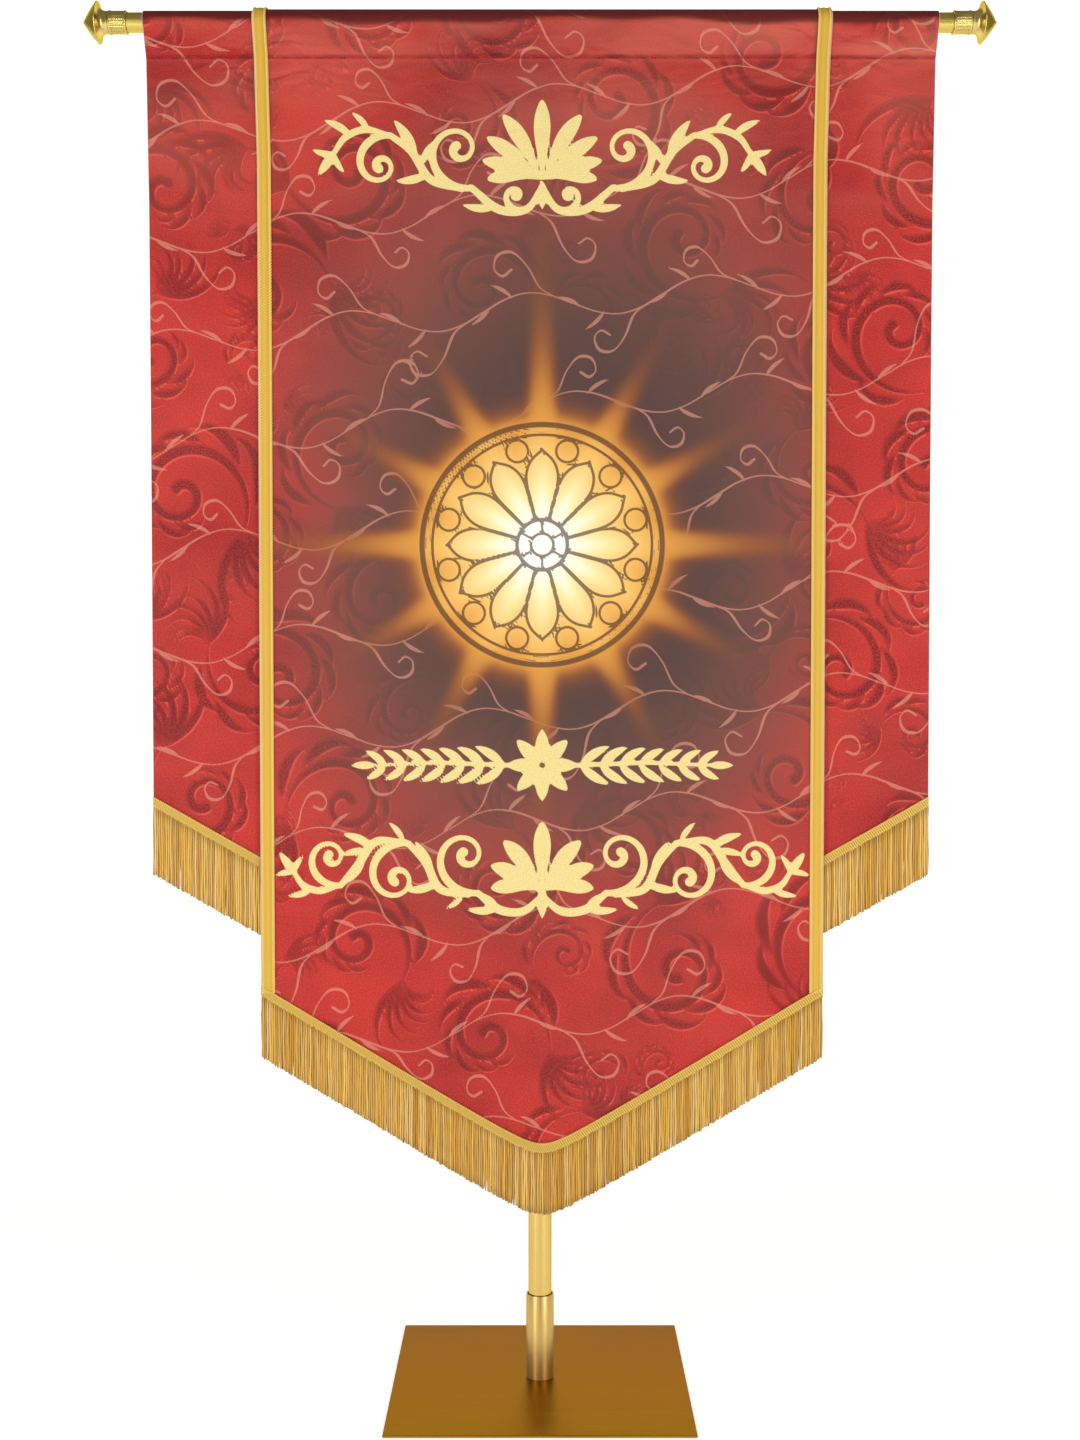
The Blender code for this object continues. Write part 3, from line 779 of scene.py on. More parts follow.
    # the pocket's seam: a sunk line with painted shade along it and small dark stitches, drawn up into uneven
    # puckers
    stretched = addNode(tree, "Mapping", {"Scale": (95.0, 14.0, 1.0)}, {"Vector": flat})
    folds = addNode(tree, "TexNoise", {"Scale": 1.0, "Detail": 2.0}, {"Vector": stretched.outputs[0]})
    parts = addNode(tree, "SeparateXYZ", None, {0: flat})
    fromSeam = addNode(tree, "Math", {1: cloth["seamZ"]}, {0: parts.outputs[1]},
                       operation="SUBTRACT").outputs[0]
    offSeam = addNode(tree, "Math", None, {0: fromSeam}, operation="ABSOLUTE").outputs[0]
    stitches = addNode(tree, "Math", {1: 2 * math.pi / seam["stitch"]}, {0: parts.outputs[0]},
                       operation="MULTIPLY").outputs[0]
    stitches = addNode(tree, "Math", None, {0: stitches}, operation="SINE").outputs[0]
    dashes = addNode(tree, "MapRange", {"From Min": -0.3, "From Max": 0.3, "To Min": 0.35},
                     {"Value": stitches})
    uneven = addNode(tree, "MapRange", {"From Min": 0.42, "From Max": 0.60, "To Min": 0.15},
                     {"Value": folds.outputs[0]})
    # painted shade: the seam's sunk line is darkened with deep red
    sunkShade = times(tree, maskOf(tree, offSeam, 0.0004, seam["sunkShade"]), 0.42)
    thread = times(tree, times(tree, maskOf(tree, offSeam, 0.0003, 0.0011), dashes.outputs[0]),
                   uneven.outputs[0])
    ink = layInk(tree, ink, "deepRed", sunkShade)
    ink = layInk(tree, ink, "band", thread)
    # painted shade: the dark band along the pocket's top
    ink = layInk(tree, ink, "band", layer("band"))
    ink = layInk(tree, ink, "selvedge", times(tree, maskOf(tree, layer("fromEdge"), 0.4, 0.9), 0.7))
    tree.links.new(ink, shader.inputs["Base Color"])
    shader.inputs["Roughness"].default_value = 0.62
    shader.inputs["Specular IOR Level"].default_value = 0.25
    # threads about 0.5 mm apart, drawn at 1.1 mm so that they show
    weave = addNode(tree, "TexWave", {"Scale": 145.0, "Distortion": 0.4, "Detail": 1.0}, {"Vector": flat},
                    bands_direction="DIAGONAL")
    relief = addNode(tree, "Math", {1: 0.35}, {0: grit.outputs[0]}, operation="MULTIPLY")
    height = addNode(tree, "Math", None, {0: weave.outputs["Fac"], 1: relief.outputs[0]}, operation="ADD")
    weaveBump = addNode(tree, "Bump", {"Strength": 0.12, "Distance": 0.0004}, {"Height": height.outputs[0]})
    nearSeam = maskOf(tree, offSeam, 0.002, seam["pucker"])
    trough = maskOf(tree, offSeam, 0.0, seam["sunkShade"])
    pucker = addNode(tree, "Math", None, {0: folds.outputs[0], 1: nearSeam}, operation="MULTIPLY").outputs[0]
    pucker = addNode(tree, "Math", None, {0: pucker, 1: trough}, operation="SUBTRACT").outputs[0]
    puckers = addNode(tree, "Bump", {"Strength": 0.55, "Distance": 0.0022}, {"Height": pucker,
                                                                          "Normal": weaveBump.outputs[0]})
    # wrinkles spread from where the braid holds the pocket
    creased = addNode(tree, "Mapping", {"Scale": (16.0, 34.0, 1.0), "Rotation": (0, 0, -0.35)},
                      {"Vector": flat})
    wrinkles = addNode(tree, "TexNoise", {"Scale": 1.0, "Detail": 1.5, "Distortion": 1.2},
                       {"Vector": creased.outputs[0]})
    crushed = addNode(tree, "Math", None, {0: wrinkles.outputs[0], 1: layer("crush")},
                      operation="MULTIPLY").outputs[0]
    bump = addNode(tree, "Bump", {"Strength": 0.8, "Distance": 0.010}, {"Height": crushed,
                                                                     "Normal": puckers.outputs[0]})
    tree.links.new(bump.outputs[0], shader.inputs["Normal"])
    return material


def makeReverseSatin():
    # The satin's unprinted reverse: the dye only half shows through, and the weave is plain
    material, tree, shader = startMaterial("satin_reverse")
    flat = addNode(tree, "Attribute", attribute_name="flat").outputs["Vector"]
    clouds = addNode(tree, "TexNoise", {"Scale": 7.0, "Detail": 4.0}, {"Vector": flat})
    tone = addNode(tree, "ValToRGB", None, {0: clouds.outputs[0]})
    tone.color_ramp.elements[0].position = 0.35
    tone.color_ramp.elements[0].color = linear("#9E3A38")
    tone.color_ramp.elements[1].position = 0.65
    tone.color_ramp.elements[1].color = linear("#BC5450")
    tree.links.new(tone.outputs[0], shader.inputs["Base Color"])
    shader.inputs["Roughness"].default_value = 0.8
    shader.inputs["Sheen Weight"].default_value = 0.2
    weave = addNode(tree, "TexWave", {"Scale": 145.0, "Distortion": 0.3}, {"Vector": flat},
                    bands_direction="DIAGONAL")
    bump = addNode(tree, "Bump", {"Strength": 0.15, "Distance": 0.0004}, {"Height": weave.outputs["Fac"]})
    tree.links.new(bump.outputs[0], shader.inputs["Normal"])
    return material


# The cloth panels

vignette = {"x": 0.030, "z": 0.955, "across": 0.40, "up": 0.62, "down": 0.47, "power": 2.3}
# A cell of the fine grid, and how many of them the reverse takes as one
weaving = {"cell": 0.00324, "coarse": 4}


def panelColumns(panel):
    # Even columns with a place at each side of the notch, fine where the cloth shows
    half = halfWidth(panel, stand["barZ"])
    notch = cloth["notchHalf"]
    count = weaving["coarse"]
    if panel["forward"]:
        outer = np.linspace(notch, half, 25 * count + 1)
    else:
        outer = np.concatenate((np.linspace(notch, 0.316, 12 * count + 1)[:-1],
                                np.linspace(0.316, half, 12 * count + 1)))
    middle = np.linspace(-notch, notch, 3 * count + 1)
    return np.concatenate((-outer[::-1], middle[1:-1], outer))


def makePanel(name, panel, front, reverse, strokes):
    k = weaving["coarse"]
    places = panelColumns(panel)
    lowest = lowestRun(panel, places, cloth["hemBehind"])
    flapRows = 3 * k
    arcRows = 4 * k
    bodyRows = int((lowest.max() - pocketRun) / weaving["cell"] / k) * k
    if not panel["forward"]:
        bodyRows = int(bodyRows * 0.8 / k) * k
    flapRuns = np.linspace(0, flapRun, flapRows + 1)[:-1]
    arcRuns = np.linspace(flapRun, pocketRun, arcRows + 1)
    shares = np.linspace(0, 1, bodyRows + 1)[1:]
    run = np.vstack((
        np.repeat(flapRuns[:, None], len(places), 1),
        np.repeat(arcRuns[:, None], len(places), 1),
        pocketRun + shares[:, None] * (lowest - pocketRun)[None, :],
    ))
    rows, columns = run.shape[0] - 1, run.shape[1] - 1
    outer = hang(panel, places[None, :], run, cloth["thick"])
    inner = hang(panel, places[None, :], run, 0.0)
    sheet = {"flatX": outer[:, :, 0] - panel["shift"], "flatZ": pocketMiddle + pocketRun - run}

    def filled(row, column):
        inFlap = row < flapRows
        inNotch = abs(places[column] + places[column + 1]) / 2 < cloth["notchHalf"]
        return 0 <= row < rows and 0 <= column < columns and not (inFlap and inNotch)

    number = np.arange((rows + 1) * (columns + 1)).reshape(rows + 1, columns + 1)
    r, c = np.meshgrid(np.arange(rows), np.arange(columns), indexing="ij")
    isNotch = (r < flapRows) & (np.abs((places[:-1] + places[1:]) / 2)[c] < cloth["notchHalf"])
    r, c = r[~isNotch], c[~isNotch]
    faces = np.column_stack((number[r, c], number[r, c + 1], number[r + 1, c + 1], number[r + 1, c])).tolist()
    frontFaces = len(faces)
    # the reverse: every fourth row and column
    base = number.size
    backNumber = base + np.arange((rows // k + 1) * (columns // k + 1)).reshape(rows // k + 1, -1)
    for i in range(0, rows, k):
        for j in range(0, columns, k):
            if not filled(i, j):
                continue
            a, b = i // k, j // k
            faces.append([backNumber[a, b], backNumber[a + 1, b], backNumber[a + 1, b + 1], backNumber[a,
                                                                                                       b + 1]])
            # the cut edges, where the next cell is empty
            edges = (((i, j), (i, j + k), (i - 1, j)), ((i, j + k), (i + k, j + k), (i, j + k)),
                     ((i + k, j + k), (i + k, j), (i + k, j)), ((i + k, j), (i, j), (i, j - 1)))
            for (i0, j0), (i1, j1), beside in edges:
                if 0 <= beside[0] < rows and 0 <= beside[1] < columns and filled(*beside):
                    continue
                fine = [number[i0 + (i1 - i0) * s // k, j0 + (j1 - j0) * s // k] for s in range(k + 1)]
                start, end = backNumber[i0 // k, j0 // k], backNumber[i1 // k, j1 // k]
                for s in range(k):
                    corner = start if s < k // 2 else end
                    faces.append([fine[s + 1], fine[s], corner])
                faces.append([start, end, fine[k // 2]])
    points = np.vstack((outer.reshape(-1, 3), inner[::k, ::k].reshape(-1, 3)))
    flatZ = sheet["flatZ"]
    flat = np.stack((sheet["flatX"], flatZ, np.zeros_like(flatZ)), -1)
    allFlat = np.vstack((flat.reshape(-1, 3), flat[::k, ::k].reshape(-1, 3)))
    used = np.zeros(len(points), bool)
    for face in faces:
        used[face] = True
    fresh = np.cumsum(used) - 1
    faces = [[int(fresh[v]) for v in face] for face in faces]
    faceMaterials = [0] * frontFaces + [1] * (len(faces) - frontFaces)
    piece = newPiece(name, points[used], faces, (front, reverse), True, faceMaterials)
    setPoints(piece, "flat", allFlat[used])
    coarseRest = np.full((rows // k + 1) * (columns // k + 1), far)

    def store(attribute, values, rest=None):
        tail = coarseRest if rest is None else np.full_like(coarseRest, rest)
        setNumbers(piece, attribute, np.concatenate((values.ravel(), tail))[used])

    for attribute, drawn in strokes.items():
        edge, beside, facing = paintStrokes(sheet, drawn, 0.005)
        store(attribute, edge)
        if attribute != "ornament":
            store(attribute + "Side", beside)
        if attribute == "damask":
            store("damaskFacing", facing, 0.0)
    x = sheet["flatX"]
    if panel["forward"]:
        across = np.abs(x - vignette["x"]) / vignette["across"]
        upDown = flatZ - vignette["z"]
        upDown = np.where(upDown > 0, upDown / vignette["up"], -upDown / vignette["down"])
        around = (across ** vignette["power"] + upDown ** vignette["power"]) ** (1 / vignette["power"])
        store("dusk", smoothShare((1.12 - around) / 0.75), 0.0)
        store("night", smoothShare((0.80 - around) / 0.55), 0.0)
        out = np.hypot(x, flatZ - rose["z"])
        turn = np.arctan2(flatZ - rose["z"], x)
        long = 0.5 + 0.5 * np.cos(turn * 4)
        rays = np.maximum(0.5 + 0.5 * np.cos(turn * 12), 0.0) ** 5
        reach = 0.022 + rays * (0.045 + 0.075 * long)
        halo = np.exp(-np.maximum(out - rose["radius"], 0) / reach)
        panes = 0.05 * np.cos(turn * 12) * smoothShare((out - 0.03) / 0.02)
        lamp = np.clip(1.02 - 0.60 * (out / rose["radius"]) ** 1.25 + panes, 0, 1)
        store("glow", np.where(out < rose["radius"], lamp, 0.42 * halo), 0.0)
    # painted sheen: how strongly the pale patches show, more on the upper cloth and most over the pocket
    high = smoothShare((flatZ - 1.30) / 0.20)
    pocketSheen = smoothShare((flatZ - cloth["seamZ"]) / 0.004)
    store("paintedSheen", 0.12 + 0.50 * high + 0.38 * pocketSheen, 0.0)
    crush = np.zeros_like(flatZ)
    for at in creases["beside"]:
        for side in (-1, 1):
            crush += np.exp(-((x - side * at) / creases["reach"]) ** 2)
    rise = np.exp(-((flatZ - cloth["seamZ"]) / creases["height"]) ** 2)
    store("crush", np.clip(creases["plain"] * high + rise * (0.35 + crush), 0, 1), 0.0)
    # painted shade: a dark band with a wavering lower edge along the top of the pocket, where the cloth turns
    # away over the bar
    waver = 0.0030 * np.sin(x * 14 + 0.6) + 0.0018 * np.sin(x * 43 + 1)
    store("band", smoothShare((flatZ - (pocketMiddle - 0.0030 + waver)) / 0.006) * 0.94, 0.0)
    store("fromEdge", (halfWidth(panel, np.minimum(flatZ, stand["barZ"])) - np.abs(x)) / mm, far)
    return piece, sheet


printedFront = makePrintedSatin("printed_satin_front", True)
printedBack = makePrintedSatin("printed_satin_back", False)
reverse = makeReverseSatin()

rowsOfVine = vineStrokes(0.46, 0.25, 1.60, vine["seed"])
frontStrokes = {
    **rowsOfVine,
    "damask": damaskStrokes(0.34, 0.25, 1.60, damask["seed"]),
    "ornament": moved(crestStrokes(), 0, ornaments["crest"]) + moved(laurelStrokes(), 0, ornaments["laurel"])
    + moved(friezeStrokes(), 0, ornaments["frieze"]),
    "tracery": moved(roseStrokes(), 0, rose["z"]),
}
backStrokes = {"damask": damaskStrokes(0.46, 0.40, 1.60, damask["seed"] + 1), **rowsOfVine}
backCloth, _ = makePanel("back_panel_cloth", backPanel, printedBack, reverse, backStrokes)
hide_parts("back_panel")
frontCloth, _ = makePanel("front_panel_cloth", frontPanel, printedFront, reverse, frontStrokes)
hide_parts("front_panel")
print("the panels are cut, printed and hung")


# Cords and bands of gold thread

def tubeFaces(steps, sides, base, closed=True):
    faces = []
    for i in range(steps - 1):
        for j in range(sides):
            a = base + i * sides + j
            b = base + i * sides + (j + 1) % sides
            faces.append((a, a + sides, b + sides, b))
    if closed:
        faces.append(tuple(base + j for j in range(sides)))
        faces.append(tuple(base + (steps - 1) * sides + j for j in reversed(range(sides))))
    return faces


def twistedCord(centre, across, outward, radius, pitch, phase=0.0, sides=6, flat=1.0):
    # Two plies wound round each other, pressed to a share of their height. Returns points, faces and
    # a tone for each point: painted shade, low where a ply's surface lies near the cord's middle
    lengths = np.concatenate(([0], np.cumsum(np.linalg.norm(np.diff(centre, axis=0), axis=1))))
    steps = int(lengths[-1] / pitch * 7)
    along = np.linspace(0, lengths[-1], steps)
    line, sideways, out = (np.column_stack([np.interp(along, lengths, a[:, i]) for i in range(3)])
                           for a in (centre, across, outward))
    points, faces, tones = [], [], []
    ring = np.linspace(0, 2 * math.pi, sides, endpoint=False)
    plyRadius = radius * 0.58
    orbit = radius - plyRadius
    for ply in (0, 1):
        turn = 2 * math.pi * along / (2 * pitch) + ply * math.pi + phase
        middle = line + orbit * (np.cos(turn)[:, None] * sideways + np.sin(turn)[:, None] * out * flat)
        aside = np.cos(ring)[None, :, None] * sideways[:, None, :]
        up = np.sin(ring)[None, :, None] * out[:, None, :] * flat
        around = middle[:, None, :] + plyRadius * (aside + up)
        faces += tubeFaces(steps, sides, sum(len(p) for p in points))
        points.append(around.reshape(-1, 3))
        # painted shade: the tone is the distance from the cord's middle, dark in the grooves between the plies
        rise = ((around - line[:, None, :]) * out[:, None, :]).sum(axis=2) / (radius * flat)
        aside = ((around - line[:, None, :]) * sideways[:, None, :]).sum(axis=2) / radius
        tones.append(np.hypot(rise, aside).ravel())
    return np.vstack(points), faces, np.concatenate(tones)


braid = {
    "width": 0.0162, "cordWidth": 0.0036, "cordFlat": 0.56, "base": 0.0009, "cordPitch": 0.0034,
    "chevron": 0.0024, "relief": 0.0007, "selvedge": 0.0007,
}


def joined(parts):
    # Several (points, faces, tones) as one
    points = np.vstack([p for p, _, _ in parts])
    tones = np.concatenate([t for _, _, t in parts])
    faces, base = [], 0
    for p, f, _ in parts:
        faces += [tuple(base + v for v in face) for face in f]
        base += len(p)
    return points, faces, tones


def band(inner, outer, tones):
    # A closed strip between two grids of points, its faces outwards
    rows, columns = outer.shape[:2]
    n = rows * columns
    faces = []

    def v(i, j, top):
        return (n if not top else 0) + i * columns + j

    for i in range(rows - 1):
        for j in range(columns - 1):
            faces.append((v(i, j, 1), v(i, j + 1, 1), v(i + 1, j + 1, 1), v(i + 1, j, 1)))
            faces.append((v(i, j, 0), v(i + 1, j, 0), v(i + 1, j + 1, 0), v(i, j + 1, 0)))
        faces.append((v(i, 0, 0), v(i, 0, 1), v(i + 1, 0, 1), v(i + 1, 0, 0)))
        faces.append((v(i, columns - 1, 1), v(i, columns - 1, 0), v(i + 1, columns - 1, 0), v(i + 1,
                                                                                              columns - 1,
                                                                                              1)))
    for j in range(columns - 1):
        faces.append((v(0, j, 0), v(0, j + 1, 0), v(0, j + 1, 1), v(0, j, 1)))
        last = rows - 1
        faces.append((v(last, j, 1), v(last, j + 1, 1), v(last, j + 1, 0), v(last, j, 0)))
    points = np.vstack((outer.reshape(-1, 3), inner.reshape(-1, 3)))
    return points, faces, np.concatenate((tones.ravel(), np.full(n, 0.5)))


def makeBraid(name, side, material):
    half = halfWidth(frontPanel, stand["barZ"])
    under = cloth["thick"] + sewn
    end = lowestRun(frontPanel, side * (half - braid["width"]), -sewn)
    step = braid["chevron"] / 4
    runs = np.arange(0.0, end, step)
    margin = braid["selvedge"]
    insets = np.linspace(braid["cordWidth"] * 0.6, braid["width"] - braid["cordWidth"] * 0.6, 9)
    r, inset = np.meshgrid(runs, insets, indexing="ij")
    fromMiddle = np.abs(inset - braid["width"] / 2) / (braid["width"] / 2)
    wave = 0.5 + 0.5 * np.cos(2 * math.pi * (r / braid["chevron"] + 1.6 * fromMiddle))
    hollow = 0.5 + 0.5 * np.cos(math.pi * np.clip(fromMiddle / 0.65, 0, 1))
    relief = wave * (0.35 + 0.65 * hollow)
    xTop = side * (half - margin - inset)
    outer = hang(frontPanel, xTop, r, under + braid["base"] + braid["relief"] * relief)
    inner = hang(frontPanel, xTop, r, under)
    # painted highlight and shade: the tone follows the relief, light on the crests and dark in the grooves
    tone = 0.42 + 0.44 * relief
    if side < 0:
        parts = [band(inner, outer, tone)]
    else:
        parts = [band(inner[:, ::-1], outer[:, ::-1], tone[:, ::-1])]
    fineRuns = np.arange(0.0, end, 0.001)
    for inset, phase in ((braid["cordWidth"] / 2, 0.0), (braid["width"] - braid["cordWidth"] / 2, 1.4)):
        x = np.full_like(fineRuns, side * (half - margin - inset))
        low = hang(frontPanel, x, fineRuns, under)
        centre = hang(frontPanel, x, fineRuns, under + braid["cordWidth"] / 2 * braid["cordFlat"])
        out = centre - low
        out /= np.linalg.norm(out, axis=1)[:, None]
        ahead = np.gradient(centre, axis=0)
        ahead /= np.linalg.norm(ahead, axis=1)[:, None]
        across = np.cross(out, ahead)
        parts.append(twistedCord(centre, across, out, braid["cordWidth"] / 2, braid["cordPitch"], phase,
                                 6, braid["cordFlat"]))
    points, faces, tones = joined(parts)
    piece = newPiece(name, points, faces, (material,))
    setNumbers(piece, "tone", tones)
    return piece


fringeMake = {
    "heading": 0.0125, "thick": 0.0013, "ribPitch": 0.0024, "topCord": 0.0023, "cordPitch": 0.0032,
    "strandPitch": 0.00260, "strandRadius": 0.00114, "sides": 6, "steps": 7, "uneven": 0.0011,
    "swing": 0.0005,
}


def headingPoint(panel, x, drop, extra):
    z = headingZ(panel, x)
    y = -cloth["pocketRadius"] - lift(panel, z) - cloth["thick"] - sewn - extra + sway(x, z)
    return np.stack((x, y, z - drop), -1)


def makeFringe(name, panel, material):
    # A ribbed woven heading with a twisted cord on its upper edge, and two rows of strands
    chance = np.random.default_rng(panel["seed"])
    half = halfWidth(panel, panel["sideZ"])
    left, right = panel["shift"] - half, panel["shift"] + half
    count = int((right - left) / 0.0008)
    xs = np.linspace(left, right, count)
    drops = np.linspace(0.0006, fringeMake["heading"], 8)
    x, drop = np.meshgrid(xs, drops, indexing="ij")
    x, drop = x.T, drop.T
    ribs = 0.5 + 0.5 * np.cos(2 * math.pi * (x / fringeMake["ribPitch"] + 0.9 * drop / fringeMake["ribPitch"]))
    lowEdge = np.exp(-((drop - fringeMake["heading"] * 0.9) / 0.0016) ** 2)
    relief = np.clip(ribs * 0.85 + 0.3 * lowEdge, 0, 1.2)
    outer = headingPoint(panel, x, drop, fringeMake["thick"] * 0.62 + 0.0006 * relief)
    inner = headingPoint(panel, x, drop, np.zeros_like(x))
    # the relief is also the heading's tone: painted highlight on the ribs' crests and along the low edge,
    # painted shade between the ribs
    parts = [band(inner, outer, relief)]
    radius = fringeMake["topCord"] / 2
    line = headingPoint(panel, xs, np.full_like(xs, radius * 0.7), np.full_like(xs, radius + 0.0003))
    ahead = np.gradient(line, axis=0)
    ahead /= np.linalg.norm(ahead, axis=1)[:, None]
    out = np.tile((0.0, -1.0, 0.0), (len(xs), 1))
    across = np.cross(out, ahead)
    parts.append(twistedCord(line, across, out, radius, fringeMake["cordPitch"], 0.0, 5))
    sides, steps = fringeMake["sides"], fringeMake["steps"]
    ring = np.linspace(0, 2 * math.pi, sides, endpoint=False)
    for layer, depth in ((0, 0.0003), (1, 0.0013)):
        pitch = fringeMake["strandPitch"]
        places = np.arange(left + pitch * (0.5 + 0.5 * layer), right - pitch * 0.3, pitch)
        for place in places:
            length = panel["fringe"] + chance.uniform(-1, 1) * fringeMake["uneven"]
            start = fringeMake["heading"] - 0.0015
            t = np.linspace(0, 1, steps)
            swing = chance.uniform(-1, 1, 2) * fringeMake["swing"]
            wave = chance.uniform(0, 2 * math.pi)
            thick = fringeMake["strandRadius"] * chance.uniform(0.82, 1.12)
            root = headingPoint(panel, place, 0.0, depth)
            centre = np.column_stack((
                root[0] + swing[0] * t**1.5 + 0.0003 * np.sin(wave + 7 * t),
                root[1] + swing[1] * t**1.5 * 0.6 - 0.0008 * t,
                root[2] - start - (length - start) * t,
            ))
            girth = thick * (1.0 + 0.10 * np.sin(wave + 19 * t)) * np.where(t > 0.97, 0.85, 1.0)
            around = centre[:, None, :] + girth[:, None, None] * np.stack(
                (np.cos(ring), np.sin(ring) * 0.8, np.zeros(sides)), -1)[None]
            faces = [tuple(reversed(f)) for f in tubeFaces(steps, sides, 0)]
            # painted shade: the back row's strands take only the darker tones, the front row's the lighter
            # ones; within a row the tone differs at random
            tone = 2.0 + (chance.uniform(0.42, 1) if layer else chance.uniform(0, 0.35))
            parts.append((around.reshape(-1, 3), faces, np.full(steps * sides, tone)))
    points, faces, tones = joined(parts)
    piece = newPiece(name, points, faces, (material,))
    setNumbers(piece, "tone", tones)
    return piece


def makeLurexBraid():
    # Gimp of metallised film thread: painted highlight in bright yellow where the thread turns to the light,
    # painted shade in its grooves
    material, tree, shader = startMaterial("lurex_gimp")
    tone = addNode(tree, "Attribute", attribute_name="tone").outputs["Fac"]
    ramp = addNode(tree, "ValToRGB", None, {0: tone})
    elements = ramp.color_ramp.elements
    elements[0].position, elements[0].color = 0.10, linear("#A4741A")
    elements[1].position, elements[1].color = 0.97, linear("#FBE694")
    for place, colour in ((0.45, "#D09E2E"), (0.76, "#E8C04A")):
        element = elements.new(place)
        element.color = linear(colour)
    tree.links.new(ramp.outputs[0], shader.inputs["Base Color"])
    shader.inputs["Roughness"].default_value = 0.40
    shader.inputs["Metallic"].default_value = 0.10
    place = addNode(tree, "TexCoord")
    fibres = addNode(tree, "TexNoise", {"Scale": 2400.0, "Detail": 2.0}, {"Vector": place.outputs["Object"]})
    bump = addNode(tree, "Bump", {"Strength": 0.3, "Distance": 0.0002}, {"Height": fibres.outputs[0]})
    tree.links.new(bump.outputs[0], shader.inputs["Normal"])
    return material


def makeChainette():
    # Rayon chainette: knitted strands in slightly different golds with the back row painted darker as shade,
    # and a heading of the same yarn with painted highlight and shade on its ribs
    material, tree, shader = startMaterial("rayon_chainette")
    tone = addNode(tree, "Attribute", attribute_name="tone").outputs["Fac"]
    heading = addNode(tree, "ValToRGB", None, {0: tone})
    elements = heading.color_ramp.elements
    elements[0].position, elements[0].color = 0.05, linear("#A87C20")
    elements[1].position, elements[1].color = 0.95, linear("#F2CE60")
    shift = addNode(tree, "Math", {1: 2.0}, {0: tone}, operation="SUBTRACT")
    strands = addNode(tree, "ValToRGB", None, {0: shift.outputs[0]})
    elements = strands.color_ramp.elements
    elements[0].position, elements[0].color = 0.0, linear("#8C6014")
    elements[1].position, elements[1].color = 1.0, linear("#E8C674")
    for place, colour in ((0.40, "#BE8826"), (0.70, "#DAA83C")):
        element = elements.new(place)
        element.color = linear(colour)
    isStrand = addNode(tree, "Math", {1: 1.5}, {0: tone}, operation="GREATER_THAN")
    colour = addNode(tree, "Mix", None, {0: isStrand.outputs[0], colourA: heading.outputs[0],
                                         colourB: strands.outputs[0]}, data_type="RGBA")
    tree.links.new(colour.outputs[colourOut], shader.inputs["Base Color"])
    shader.inputs["Roughness"].default_value = 0.5
    shader.inputs["Metallic"].default_value = 0.12
    shader.inputs["Sheen Weight"].default_value = 0.25
    place = addNode(tree, "TexCoord")
    spread = addNode(tree, "Mapping", {"Scale": (1.0, 1.0, 0.5)}, {"Vector": place.outputs["Object"]})
    knit = addNode(tree, "TexWave", {"Scale": 200.0, "Distortion": 1.0}, {"Vector": spread.outputs[0]},
                   bands_direction="DIAGONAL")
    bump = addNode(tree, "Bump", {"Strength": 0.35, "Distance": 0.0003}, {"Height": knit.outputs["Fac"]})
    tree.links.new(bump.outputs[0], shader.inputs["Normal"])
    return material


lurexBraid = makeLurexBraid()
chainette = makeChainette()
leftBraid = makeBraid("left_gimp_braid", -1, lurexBraid)
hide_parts("braid_left")
rightBraid = makeBraid("right_gimp_braid", 1, lurexBraid)
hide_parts("braid_right")
backTrim = makeFringe("back_chainette_fringe", backPanel, chainette)
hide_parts("back_fringe")
frontTrim = makeFringe("front_chainette_fringe", frontPanel, chainette)
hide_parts("front_fringe")
print("the braids and fringes are sewn on")


# The gold stand

def startPiece():
    bpy.ops.object.select_all(action="DESELECT")


def finishPiece(name, material, node, angle=0.6):
    piece = bpy.context.active_object
    bpy.ops.object.transform_apply(location=True, rotation=True, scale=True)
    bpy.ops.object.shade_smooth_by_angle(angle=angle)
    piece.name = name
    piece.data.name = name
    piece.data.materials.clear()
    piece.data.materials.append(material)
    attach(piece, "root")
    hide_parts(node)
    return piece


def spinProfile(profile, centre, axis, closed):
    # A point is pulled along the profile and the line is spun round the axis
    startPiece()
    bpy.ops.mesh.primitive_plane_add(size=0.001, location=profile[0])
    bpy.ops.object.mode_set(mode="EDIT")
    bpy.ops.mesh.merge(type="CENTER")
    for here, there in zip(profile, profile[1:]):
        bpy.ops.mesh.extrude_region_move(TRANSFORM_OT_translate={"value": Vector(there) - Vector(here)})
    if closed:
        bpy.ops.mesh.extrude_region_move(
            TRANSFORM_OT_translate={"value": Vector(profile[0]) - Vector(profile[-1])})
    bpy.ops.mesh.select_all(action="SELECT")
    bpy.ops.mesh.spin(steps=stand["turns"], angle=2 * math.pi, center=centre, axis=axis)
    bpy.ops.mesh.select_all(action="SELECT")
    bpy.ops.mesh.remove_doubles(threshold=0.000005)
    bpy.ops.mesh.normals_make_consistent(inside=False)
    bpy.ops.object.mode_set(mode="OBJECT")


